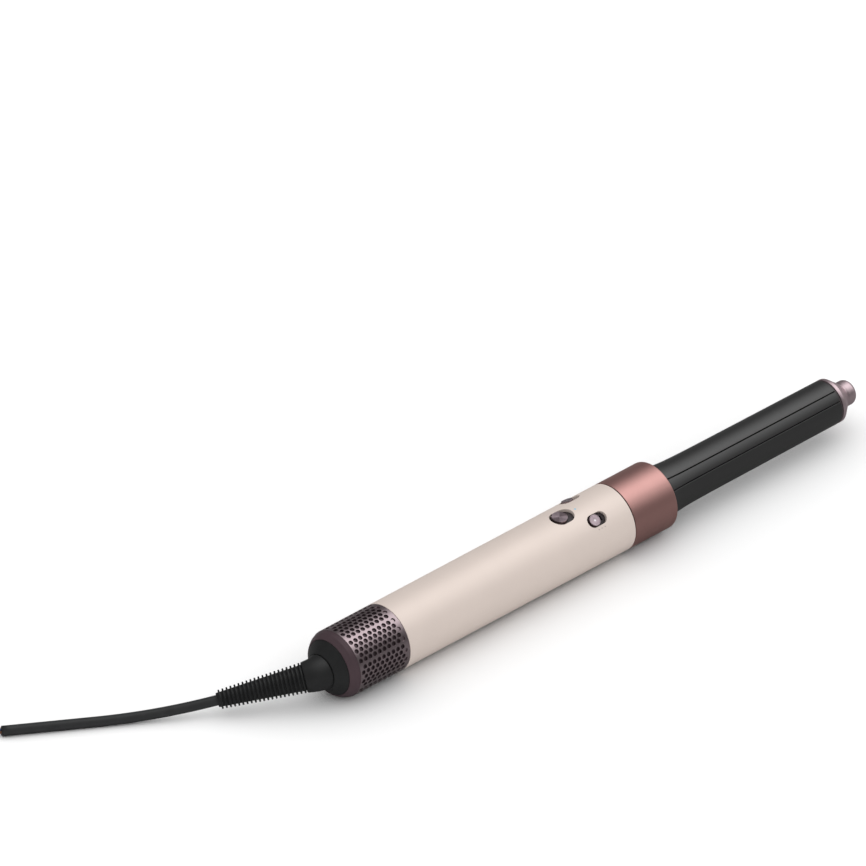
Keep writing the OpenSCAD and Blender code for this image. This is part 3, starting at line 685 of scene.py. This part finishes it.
def paint_cad_nodes():
    """Gives every CAD node the material of its slot."""
    for part in frame["record"]["subparts"]:
        mesh = frame["nodes"][part["node"]].data
        mesh.materials.clear()
        mesh.materials.append(MATERIALS[part["material_slot"]])


# ---------- handle ----------

def lines_between(start, end, step):
    """Evenly spaced values from start to end, no further apart than step."""
    count = max(1, math.ceil(abs(end - start) / step - 1e-6))
    return [start + (end - start) * i / count for i in range(count + 1)]


def slot_cells(xs, angles, x, angle, reach_x, reach_angle):
    """The grid lines round a hole: the nearest ones to its reach on each side."""
    near = lambda values, v: min(range(len(values)), key=lambda i: abs(values[i] - v))
    rows = len(angles)
    step = 360 / rows
    low, high = round((angle - reach_angle) / step), round((angle + reach_angle) / step)
    if low < 0:
        low, high = low + rows, high + rows
    return near(xs, x - reach_x), near(xs, x + reach_x), low, high


def handle_sleeve():
    """The long satin sleeve with its three button slots and the light's hole."""
    back, front = low_x("handle_sleeve"), high_x("handle_sleeve")
    edge = 0.3 * MM
    power, flow = middle("power_button"), middle("flow_button")
    light = middle("status_light")
    power_w = high_x("power_button") - low_x("power_button") + 2.1 * MM
    power_len = power_w + 3.9 * MM
    power_x = power.x + 1.95 * MM
    small_r = (high_x("flow_button") - low_x("flow_button")) / 2
    small_w = 2 * small_r + 0.7 * MM
    small_len = small_w + 5.7 * MM
    small_x = flow.x + 1.9 * MM
    near_lo, near_hi = power_x - 12 * MM, small_x + 11 * MM
    xs = lines_between(back + edge, near_lo, 8 * MM)
    xs += lines_between(near_lo, near_hi, 0.6 * MM)[1:]
    xs += lines_between(near_hi, front - edge, 3 * MM)[1:]
    angles = [2 * i for i in range(180)]
    holes = []
    for x, angle, length, width in ((power_x, BUTTON_ROLL, power_len, power_w),
                                    (small_x, FLOW_ANGLE, small_len, small_w),
                                    (small_x, HEAT_ANGLE, small_len, small_w)):
        reach_angle = math.degrees((width / 2 + 1.2 * MM) / HANDLE_R)
        cell = slot_cells(xs, angles, x, angle, length / 2 + 1.2 * MM, reach_angle)
        holes.append((*cell, (length - width) / 2, width / 2, 0.25 * MM, None))
    shell = pierced_tube(Shell(), xs, angles, HANDLE_R, SLEEVE_IN, edge, holes)
    shell.piece("handle_shell", "handle", "shell", MATERIALS["shell"], ["handle_sleeve"])


def status_light():
    """The small light between the buttons, a low lens that stands just clear of the sleeve."""
    x, r = middle("status_light").x, 0.62 * MM
    top = HANDLE_R + 0.12 * MM
    outline = rounded([(0, top - 1.2 * MM, 0), (r, top - 1.2 * MM, 0), (r, top - 0.1 * MM, 0.12 * MM),
                       (0, top, 0)])
    shell = lathe(Shell(), outline, radial_frame(x, BUTTON_ROLL), SMALL_SIDES)
    shell.piece("light_lens", "handle", "light", MATERIALS["light"], ["status_light"])


def slot_marks():
    """Three small printed dots beside each small slot, one for each stop."""
    material = surface("mark_ink", (0.22, 0.17, 0.16), 0.5, mottle=0.1, blotch=400)
    x = middle("flow_button").x
    for angle, name in ((FLOW_ANGLE + 16, "flow_marks"), (HEAT_ANGLE - 16, "heat_marks")):
        shell = Shell()
        for step in (-0.2, 2.1, 4.4):
            centre = radial_frame(x + step * MM, angle)
            low, high, r = HANDLE_R - 0.1 * MM, HANDLE_R + 0.012 * MM, 0.3 * MM
            outline = rounded([(0, low, 0), (r, low, 0), (r, high, 0.005 * MM), (0, high, 0)], 2)
            lathe(shell, outline, centre, 16)
        shell.piece(name, "handle", "button_metal", material)


def seam_ring():
    """The dark gasket in the seam between the handle and the collar."""
    x0, x1, r = low_x("seam_gasket"), high_x("seam_gasket"), radius_of("seam_gasket")
    rim = 0.08 * MM
    outline = rounded([(r - 3 * MM, x0, rim), (r, x0, rim), (r, x1, rim), (r - 3 * MM, x1, rim)])
    lathe(Shell(), outline, TOOL_AXIS).piece("seam_ring", "handle", "rubber", MATERIALS["rubber"],
                                             ["seam_gasket"])


def button(name, node, body, angle):
    """A turned metal button: a flat face with a fine step round it and a shallow dimple in the middle."""
    x, r = middle(node).x, (high_x(node) - low_x(node)) / 2
    top = HANDLE_R + BUTTON_PROUD
    bottom = SLEEVE_IN - 0.05 * MM
    dimple = 0.42 * r
    place = radial_frame(x, angle)
    outline = rounded([(0, bottom, 0), (r, bottom, 0.1 * MM), (r, top, 0.22 * MM),
                       (r - 0.42 * MM, top, 0.08 * MM), (r - 0.5 * MM, top - 0.1 * MM, 0.06 * MM),
                       (dimple, top - 0.1 * MM, 0.3 * MM), (0, top - 0.2 * MM, 0)], 6)
    out = place.to_3x3() @ Vector((0, 0, 1))
    centre = place @ Vector((0, 0, top))
    metal = turned_metal(name + "_metal", centre, out, node == "power_button")
    shell = lathe(Shell(), outline, place, SMALL_SIDES * 2)
    shell.piece(name, body, "button_metal", metal, [node])


# ---------- barrel ----------

def collar():
    """The rose metal band at the barrel's foot, open in front where the barrel comes out."""
    x0, x1 = low_x("barrel_collar"), high_x("barrel_collar")
    inside, mouth = 18.9 * MM, barrel_radius(x1) + 0.2 * MM
    outline = rounded([(inside, x0, 0.1 * MM), (HANDLE_R, x0, 0.3 * MM), (HANDLE_R, x1, 1.1 * MM),
                       (mouth, x1, 0.3 * MM), (mouth, x1 - 1.3 * MM, 0.2 * MM),
                       (inside, x1 - 1.3 * MM, 0.1 * MM)], 8)
    lathe(Shell(), outline, TOOL_AXIS).piece("collar_band", "barrel", "rose_metal",
                                             MATERIALS["rose_metal"], ["barrel_collar"])


BARREL_END = high_x("barrel_end_ring")
BARREL_END_R = 13.45 * MM
BARREL_TAPER = 0.6 * MM
FLARE = 2.45 * MM
FLARE_LEN = 8.6 * MM
STAVE_WALL = 1.2 * MM
FIRST_STAVE = 46
NARROW_SPAN = 28
SLOT_SPAN = 2.2


def barrel_radius(x):
    """The barrel's outside radius at a place along the axis."""
    collar_end = high_x("barrel_collar")
    straight = BARREL_END_R + BARREL_TAPER * (BARREL_END - x) / (BARREL_END - collar_end)
    return straight + FLARE * math.exp((collar_end - x) / FLARE_LEN)


def stave(shell, middle_angle, half_span, x0, x1):
    """One stave between two slots, with rounded edges, that follows the barrel's flare."""
    edge = 0.28 * MM
    sections = []
    stations = [x0 + (x1 - x0) * (i / 40) ** 2 for i in range(41)]
    for x in stations:
        outer = barrel_radius(x)
        slope = (barrel_radius(x + MM) - barrel_radius(x - MM)) / (2 * MM)
        inner = outer - STAVE_WALL
        round_angle = math.degrees(edge / outer)
        arc = lines_between(-half_span + round_angle, half_span - round_angle, 2)
        corner = []
        for t in (math.radians(22.5 * k) for k in range(1, 5)):
            r = outer - edge * (1 - math.cos(t))
            corner.append((half_span - round_angle * (1 - math.sin(t)), r, t))
        section = [(-a, r, -t) for a, r, t in reversed(corner)]
        section += [(a, outer, 0) for a in arc] + corner
        section.append((half_span, inner, math.pi / 2))
        section += [(a, inner, math.pi) for a in reversed(arc)]
        section.append((-half_span, inner, -math.pi / 2))
        ring = []
        for angle, r, lean in section:
            a = middle_angle + angle
            normal = outward(a) * math.cos(lean) + outward(a + 90) * math.sin(lean)
            normal += Vector((-slope * math.cos(lean), 0, 0))
            ring.append((on_tube(x, a, r), normal))
        sections.append(ring)
    return loft(shell, sections)


def staves():
    """Three narrow and three wide staves, with a thin air slot on each side of a narrow one."""
    x0, x1 = low_x("wide_staves"), high_x("wide_staves")
    wide_span = 120 - NARROW_SPAN
    narrow, wide = Shell(), Shell()
    for i in range(3):
        stave(narrow, FIRST_STAVE + 120 * i, (NARROW_SPAN - SLOT_SPAN) / 2, x0, x1)
        stave(wide, FIRST_STAVE + 60 + 120 * i, (wide_span - SLOT_SPAN) / 2, x0, x1)
    narrow.piece("staves_narrow", "barrel", "barrel_dark", MATERIALS["barrel_dark"], ["narrow_staves"])
    wide.piece("staves_wide", "barrel", "barrel_dark", MATERIALS["barrel_dark"], ["wide_staves"])


def end_ring():
    """The dark ring that closes the barrel in front of the staves."""
    x0, x1, r = high_x("wide_staves"), BARREL_END, radius_of("barrel_end_ring")
    low = low_x("barrel_end_ring")
    hub = 4.0 * MM
    inside = barrel_radius(low) - STAVE_WALL - 0.1 * MM
    outline = rounded([(hub, low + 2 * MM, 0.1 * MM), (6 * MM, low + 2 * MM, 0.1 * MM),
                       (6 * MM, x1 - 3.4 * MM, 0.1 * MM), (11 * MM, x1 - 3.4 * MM, 0.1 * MM),
                       (11 * MM, low, 0.1 * MM), (inside, low, 0.1 * MM),
                       (inside, x0 + 0.05 * MM, 0.02 * MM), (r, x0 + 0.05 * MM, 0.2 * MM),
                       (r, x1, 0.3 * MM), (hub, x1, 0.1 * MM)])
    lathe(Shell(), outline, TOOL_AXIS).piece("barrel_cap_ring", "barrel", "dark_plastic",
                                             MATERIALS["dark_plastic"], ["barrel_end_ring"])


NECK_R = 7.2 * MM
KNOB_R = 7.5 * MM
FLANGE_LEN = 2.2 * MM
NECK_LEN = 7.6 * MM
NECK_FILLET = 0.7 * MM
NECK_FILLET_LEN = 0.8 * MM
NOTCH = (1.6 * MM, 2.5 * MM)
NOTCH_BOTTOM = NECK_R + 0.8 * MM


def flare_radius(back):
    """The tip's radius at a distance behind its neck: a fillet, then a straight cone out to the flange."""
    if back < NECK_FILLET_LEN:
        return NECK_R + NECK_FILLET * (back / NECK_FILLET_LEN) ** 2
    t = (back - NECK_FILLET_LEN) / (NECK_LEN - NECK_FILLET_LEN)
    return NECK_R + NECK_FILLET + (BARREL_END_R - NECK_R - NECK_FILLET) * t


def tip_outline():
    """The cool tip's outline: a flange, a cone down to the neck and a knob, and where the neck is."""
    x0, x1 = low_x("cool_tip"), high_x("cool_tip")
    flange, lip = BARREL_END_R, x0 + FLANGE_LEN
    neck_x = lip + NECK_LEN
    outline = [(0, x0), (flange - 0.12 * MM, x0), (flange - 0.03 * MM, x0 + 0.04 * MM),
               (flange, x0 + 0.12 * MM), (flange, lip - 0.05 * MM)]
    places = [NECK_LEN * (1 - i / 40) for i in range(1, 41)]
    places += [edge + step * MM for edge in NOTCH for step in (-0.03, 0.03)]
    for back in sorted(places, reverse=True):
        outline.append((flare_radius(back), neck_x - back))
    for i in range(1, 4):
        t = i / 4
        outline.append((NECK_R + (KNOB_R - NECK_R) * (3 * t * t - 2 * t ** 3), neck_x + t * 1.2 * MM))
    round_len = 4.4 * MM
    for x in lines_between(neck_x + 1.2 * MM, x1 - round_len, 0.6 * MM):
        outline.append((KNOB_R, x))
    for i in range(1, 15):
        t = math.radians(90 * i / 14)
        outline.append((KNOB_R * math.cos(t) ** 0.72, x1 - round_len * (1 - math.sin(t))))
    return outline, neck_x


def cool_tip():
    """The metal tip, with four flat notches across its cone."""
    outline, neck_x = tip_outline()
    shell = Shell()
    rings = []
    for r, x in outline:
        if r < 1e-6:
            rings.append([shell.add((x, 0, 0), (1, 0, 0))])
            continue
        notched = NOTCH[0] < neck_x - x < NOTCH[1]
        ring = []
        for i in range(ROUND_SIDES):
            a = 360 * i / ROUND_SIDES
            swing = math.radians((a + 45) % 90 - 45)
            cut = min(r, NOTCH_BOTTOM / math.cos(swing)) if notched else r
            ring.append(shell.add(on_tube(x, a, cut), outward(a)))
        rings.append(ring)
    for a, b in zip(rings, rings[1:]):
        if len(a) == 1:
            shell.fan(a[0], b)
        elif len(b) == 1:
            shell.fan(b[0], a)
        else:
            shell.strip(a, b)
    shell.normals = []
    shell.piece("tip_knob", "diverter", "tip_metal", MATERIALS["tip_metal"], ["cool_tip"])


# ---------- filter cage ----------

SECTORS = 8
SECTOR_ROWS = 5
ROW_STEP = 8.4
HOLE_PITCH = 3.6 * MM
HOLE_R = 1.36 * MM


def cage():
    """The perforated cage: eight sectors of five rows of holes, every second row shifted by half a pitch."""
    back, front = low_x("filter_cage"), high_x("filter_cage")
    edge = 0.25 * MM
    cell = HOLE_PITCH / 6
    first = front - 3.3 * MM
    count = int((first - back) / cell)
    xs = [first - cell * i for i in range(count, -5, -1)]
    xs = [x for x in xs if back + edge + 0.03 * MM < x < front - edge - 0.03 * MM]
    xs = [back + edge] + xs + [front - edge]
    column = {round((first - x) / cell): i for i, x in enumerate(xs) if 0 < i < len(xs) - 1}
    gap = 360 / SECTORS - SECTOR_ROWS * ROW_STEP
    angles, row_starts = [], []
    for s in range(SECTORS):
        start = 360 / SECTORS * s - SECTOR_ROWS * ROW_STEP / 2
        for k in range(SECTOR_ROWS):
            row_starts.append(len(angles))
            angles += [start + ROW_STEP * (k + i / 6) for i in range(6)]
        angles += [start + SECTOR_ROWS * ROW_STEP + gap * i / 2 for i in range(2)]
    holes = []
    for row, j0 in enumerate(row_starts):
        shifted = row % 2 == 0
        for i in range(10):
            if shifted and i == 9:
                continue
            centre = 6 * i + (3 if shifted else 0)
            i0, i1 = column[centre + 3], column[centre - 3]
            depth = 0.7 * MM if not shifted and i == 0 else None
            holes.append((i0, i1, j0, j0 + 6, 0, HOLE_R, 0.08 * MM, depth))
    shell = pierced_tube(Shell(), xs, angles, HANDLE_R, HANDLE_R - 0.8 * MM, edge, holes)
    shell.piece("cage_shell", "filter", "cage_metal", MATERIALS["cage_metal"], ["filter_cage"])


def cage_ring():
    """The smooth convex ring that closes the cage round the tail cap."""
    x0, x1 = low_x("cage_rear_ring"), high_x("cage_rear_ring")
    mouth = 16.9 * MM
    big = HANDLE_R - 0.02 * MM
    outline = rounded([(mouth, x0, 0.15 * MM), (mouth + 0.6 * MM, x0, 0.35 * MM),
                       (mouth + 2.6 * MM, x0 + 2.9 * MM, 3 * MM), (big, x1, 0.12 * MM),
                       (18.8 * MM, x1, 0.1 * MM), (18.8 * MM, x1 - 0.8 * MM, 0.1 * MM),
                       (mouth, x0 + 1.4 * MM, 0.1 * MM)], 8)
    lathe(Shell(), outline, TOOL_AXIS).piece("cage_end", "filter", "cage_metal", ring_metal(),
                                             ["cage_rear_ring"])


def filter_cloth():
    """The fine steel cloth inside the cage."""
    x0, x1, r = low_x("filter_mesh"), high_x("filter_mesh"), radius_of("filter_mesh")
    rim = 0.1 * MM
    outline = rounded([(r - 0.45 * MM, x0, rim), (r, x0, rim), (r, x1, rim), (r - 0.45 * MM, x1, rim)])
    lathe(Shell(), outline, TOOL_AXIS).piece("mesh_cloth", "filter", "mesh_steel", MATERIALS["mesh_steel"],
                                             ["filter_mesh"])


# ---------- tail, boot and cord ----------

def tail():
    """The black tail cap: a lip inside the cage's ring and a cone down to the boot."""
    x0, x1, r = low_x("tail_cap"), high_x("tail_cap"), radius_of("tail_cap")
    ring_back = low_x("cage_rear_ring")
    outline = rounded([(r - 3.2 * MM, x1, 0.1 * MM), (r - 1.85 * MM, x1, 0.1 * MM),
                       (r - 1.85 * MM, x1 - 3 * MM, 0.1 * MM), (r, x1 - 3 * MM, 0.1 * MM),
                       (r, ring_back - 0.2 * MM, 0.35 * MM), (10.9 * MM, x0, 0.35 * MM),
                       (8.05 * MM, x0, 0.1 * MM), (8.05 * MM, x0 + 2.2 * MM, 0.1 * MM),
                       (12.2 * MM, x0 + 2.2 * MM, 0.1 * MM), (12.2 * MM, ring_back - 1.2 * MM, 0.1 * MM),
                       (r - 3.2 * MM, ring_back, 0.1 * MM)], 6)
    lathe(Shell(), outline, TOOL_AXIS).piece("tail_cone", "handle", "rubber", MATERIALS["rubber"],
                                             ["tail_cap"])


BOOT_LEN = 57 * MM
BOOT_DIP = math.radians(11)
CORD_R = mount("cord_end")["dims"]["r_mm"] * MM
CORD_END = Vector(mount("cord_end")["pos_m"])
CORD_WAY = Vector(mount("cord_end")["axis"])
BOOT_WAY = (CORD_WAY * math.cos(BOOT_DIP) + Vector((0, 0, -math.sin(BOOT_DIP)))).normalized()
PIVOT = Vector((low_x("tail_cap") - 4.3 * MM, 0, 0))
RIBS = 21
FIRST_RIB = 7.9 * MM
LAST_RIB = 55.1 * MM


def rib_radius(s):
    """The outside radius of the boot's ribs at a distance from the pivot."""
    return (8.75 - 3.2 * (s - FIRST_RIB) / (LAST_RIB - FIRST_RIB)) * MM


def ring_points(centre, way, side, radius, count=SMALL_SIDES * 2):
    """A ring of (point, outward direction) pairs about a centre, square to a direction."""
    other = way.cross(side).normalized()
    side = other.cross(way).normalized()
    made = []
    for i in range(count):
        a = 2 * math.pi * i / count
        out = side * math.cos(a) + other * math.sin(a)
        made.append((centre + out * radius, out))
    return made


def boot_stations():
    """The boot's (distance, radius) stations: a smooth sleeve, then thin ribs with grooves between them."""
    made = [(3.4 * MM, 9.35 * MM), (4.6 * MM, 9.15 * MM), (5.8 * MM, 8.95 * MM), (6.4 * MM, 8.8 * MM),
            (6.65 * MM, 8.6 * MM), (6.75 * MM, 8.2 * MM), (6.85 * MM, 7.6 * MM)]
    pitch = (LAST_RIB - FIRST_RIB) / (RIBS - 1)
    half, crown = 0.5 * MM, 0.16 * MM
    for i in range(RIBS):
        s = FIRST_RIB + pitch * i
        top, groove = rib_radius(s), rib_radius(s) - 1.35 * MM
        made += [(s - half - 0.14 * MM, groove), (s - half - 0.04 * MM, groove + 0.15 * MM),
                 (s - half, top - 0.5 * MM), (s - half + 0.03 * MM, top - crown),
                 (s - half + 0.16 * MM, top - 0.03 * MM), (s, top + 0.02 * MM),
                 (s + half - 0.16 * MM, top - 0.03 * MM), (s + half - 0.03 * MM, top - crown),
                 (s + half, top - 0.5 * MM), (s + half + 0.04 * MM, groove + 0.15 * MM),
                 (s + half + 0.14 * MM, groove)]
    made += [(BOOT_LEN - 0.3 * MM, rib_radius(LAST_RIB) - 1.4 * MM),
             (BOOT_LEN, rib_radius(LAST_RIB) - 1.7 * MM), (BOOT_LEN, CORD_R + 0.05 * MM)]
    return made


def boot():
    """The rubber boot: a round foot on the tail cap that turns into the ribbed sleeve."""
    foot = low_x("tail_cap") - 0.15 * MM
    base_way = Vector((-1, 0, 0))
    side = Vector((0, 0, 1))
    rings = []
    for s, r in ((0, 4), (0, 9.9), (0.06, 10.2), (0.25, 10.42), (0.5, 10.5)):
        rings.append(ring_points(Vector((foot - s * MM, 0, 0)), base_way, side, r * MM))
    begin, end = Vector((foot - 0.5 * MM, 0, 0)), PIVOT + BOOT_WAY * 3.4 * MM
    for i in range(1, 12):
        t = i / 12
        ease = t * t * (3 - 2 * t)
        way = base_way.slerp(BOOT_WAY, ease)
        curve = begin * (1 - t) ** 2 + PIVOT * 2 * t * (1 - t) + end * t ** 2
        rings.append(ring_points(curve, way, side, (10.5 - 1.15 * t) * MM))
    for s, r in boot_stations():
        rings.append(ring_points(PIVOT + BOOT_WAY * s, BOOT_WAY, side, r))
    shell = Shell()
    made = [[shell.add(p, n) for p, n in ring] for ring in rings]
    for a, b in zip(made, made[1:] + made[:1]):
        shell.strip(a, b)
    shell.normals = []
    shell.piece("boot_rubber", "cord", "rubber", MATERIALS["rubber"], ["cord_boot"])


def cord_path():
    """The cord's middle line: out of the boot, down to the floor in an arc, then straight to its cut end."""
    tip = PIVOT + BOOT_WAY * BOOT_LEN
    drop = tip.z - CORD_END.z
    bend = drop / (1 - math.cos(BOOT_DIP))
    flat = Vector((tip.x, tip.y, CORD_END.z)) + CORD_WAY * bend * math.sin(BOOT_DIP)
    centre = flat + Vector((0, 0, bend))
    path = [(PIVOT + BOOT_WAY * s * MM, BOOT_WAY) for s in (50, 54)]
    for i in range(25):
        t = BOOT_DIP * (1 - i / 24)
        away = -CORD_WAY * math.sin(t) - Vector((0, 0, math.cos(t)))
        way = (CORD_WAY * math.cos(t) - Vector((0, 0, math.sin(t)))).normalized()
        path.append((centre + away * bend, way))
    length = (CORD_END - flat).length
    for i in range(1, 17):
        path.append((flat + CORD_WAY * length * i / 16, CORD_WAY))
    return path


def cord():
    """The cord's jacket with a clean cut end, and its two insulated conductors."""
    sections = [ring_points(p, way, Vector((0, 0, 1)), CORD_R, SMALL_SIDES) for p, way in cord_path()]
    end, way = CORD_END, CORD_WAY
    for back, r in ((0.02 * MM, CORD_R - 0.12 * MM), (0, CORD_R - 0.25 * MM), (0, CORD_R - 0.7 * MM),
                    (-0.5 * MM, CORD_R - 0.75 * MM)):
        sections.append(ring_points(end + way * back * -1, way, Vector((0, 0, 1)), r, SMALL_SIDES))
    shell = loft(Shell(), sections)
    shell.normals = []
    shell.piece("cord_jacket", "cord", "cord_rubber", MATERIALS["cord_rubber"], ["power_cord"])
    side = way.cross(Vector((0, 0, 1))).normalized()
    colours = {"brown": (0.10, 0.035, 0.015), "blue": (0.02, 0.07, 0.30)}
    for (name, colour), offset in zip(colours.items(), (-1.2, 1.2)):
        spot = end + side * offset * MM
        place = Matrix.Translation(spot) @ way.to_track_quat("Z", "Y").to_matrix().to_4x4()
        wire = lathe(Shell(), rounded([(0, -0.3 * MM, 0), (0.9 * MM, -0.3 * MM, 0.1 * MM),
                                       (0.9 * MM, 2.6 * MM, 0.12 * MM), (0, 2.6 * MM, 0)]), place, 24)
        wire.piece("core_" + name, "cord", "copper", wire_tone("core_" + name, colour), ["cord_conductors"])
        strands = Shell()
        for k in range(7):
            a = math.radians(60 * k)
            shift = Vector((0.42 * MM * math.cos(a), 0.42 * MM * math.sin(a), 0)) if k < 6 else Vector()
            low, high, r = 2 * MM, 4 * MM, 0.2 * MM
            outline = rounded([(0, low, 0), (r, low, 0), (r, high, 0.05 * MM), (0, high, 0)], 3)
            lathe(strands, outline, place @ Matrix.Translation(shift), 12)
        strands.piece("strands_" + name, "cord", "copper", MATERIALS["copper"])


# ---------- stage ----------

FLOOR_Z = -HANDLE_R
CAMERA_AZIMUTH = -43.2
CAMERA_ELEVATION = 34.25
CAMERA_DISTANCE = 20
CAMERA_LENS = 1473
AIM = Vector((-0.05526, 0.08845, 0.03917))
SOFTBOX = Vector((0.566, -0.143, 0.812))


def direction(azimuth, elevation):
    """The direction from the object to a viewer at an azimuth and an elevation."""
    a, e = math.radians(azimuth), math.radians(elevation)
    return Vector((math.sin(a) * math.cos(e), -math.cos(a) * math.cos(e), math.sin(e)))


def camera():
    """The camera, with a long lens, at the angle of the reference view."""
    data = bpy.data.cameras.new("camera")
    data.lens = CAMERA_LENS
    data.clip_end = 100
    made = bpy.data.objects.new("camera", data)
    away = direction(CAMERA_AZIMUTH, CAMERA_ELEVATION)
    made.location = AIM + away * CAMERA_DISTANCE
    made.rotation_mode = "QUATERNION"
    made.rotation_quaternion = (-away).to_track_quat("-Z", "Y")
    bpy.context.scene.collection.objects.link(made)
    bpy.context.scene.camera = made


def area_light(name, away, distance, size, power):
    """A soft rectangular light that faces the object from a direction. Its height runs along the axis."""
    data = bpy.data.lights.new(name, "AREA")
    data.shape = "RECTANGLE"
    data.size, data.size_y = size
    data.energy = power
    made = bpy.data.objects.new(name, data)
    away = away.normalized()
    along = (Vector((1, 0, 0)) - away * away.x).normalized()
    across = along.cross(away)
    turn = Matrix((across, along, away)).transposed()
    made.matrix_world = Matrix.Translation(AIM + away * distance) @ turn.to_4x4()
    bpy.context.scene.collection.objects.link(made)
    return made


def floor():
    """A wide pale floor under the tool."""
    work = bmesh.new()
    bmesh.ops.create_grid(work, x_segments=8, y_segments=8, size=6)
    mesh = bpy.data.meshes.new("floor")
    work.to_mesh(mesh)
    work.free()
    mesh.materials.append(floor_white())
    made = bpy.data.objects.new("floor", mesh)
    made.location = (0, 0, FLOOR_Z - 0.05 * MM)
    bpy.context.scene.collection.objects.link(made)


def world():
    """Even white surroundings, dim in reflections so that only the softbox shows in the metal."""
    made = bpy.data.worlds.new("world")
    made.use_nodes = True
    tree = made.node_tree
    background = tree.nodes["Background"]
    background.inputs["Color"].default_value = (1, 1, 1, 1)
    strength = by_ray(tree, "Is Glossy Ray", SKY_LIGHT, SKY_IN_METAL)
    tree.links.new(by_ray(tree, "Is Camera Ray", strength, 1.0), background.inputs["Strength"])
    bpy.context.scene.world = made
    bpy.context.scene.view_settings.view_transform = "Standard"


def lights():
    """A long softbox with a soft edge that only shows in reflections: the even surroundings give the rest."""
    for name, size, power in (("softbox", (0.9, 2.2), 9.1), ("softbox_edge", (2.0, 2.4), 8.6)):
        area_light(name, SOFTBOX, SOFTBOX_AWAY, size, power).visible_diffuse = False


paint_cad_nodes()
handle_sleeve()
status_light()
slot_marks()
seam_ring()
button("button_power", "power_button", "power_slider", BUTTON_ROLL)
button("button_flow", "flow_button", "flow_slider", FLOW_ANGLE)
button("button_heat", "heat_button", "heat_slider", HEAT_ANGLE)
collar()
staves()
end_ring()
cool_tip()
cage()
cage_ring()
filter_cloth()
tail()
boot()
cord()
floor()
world()
lights()
camera()
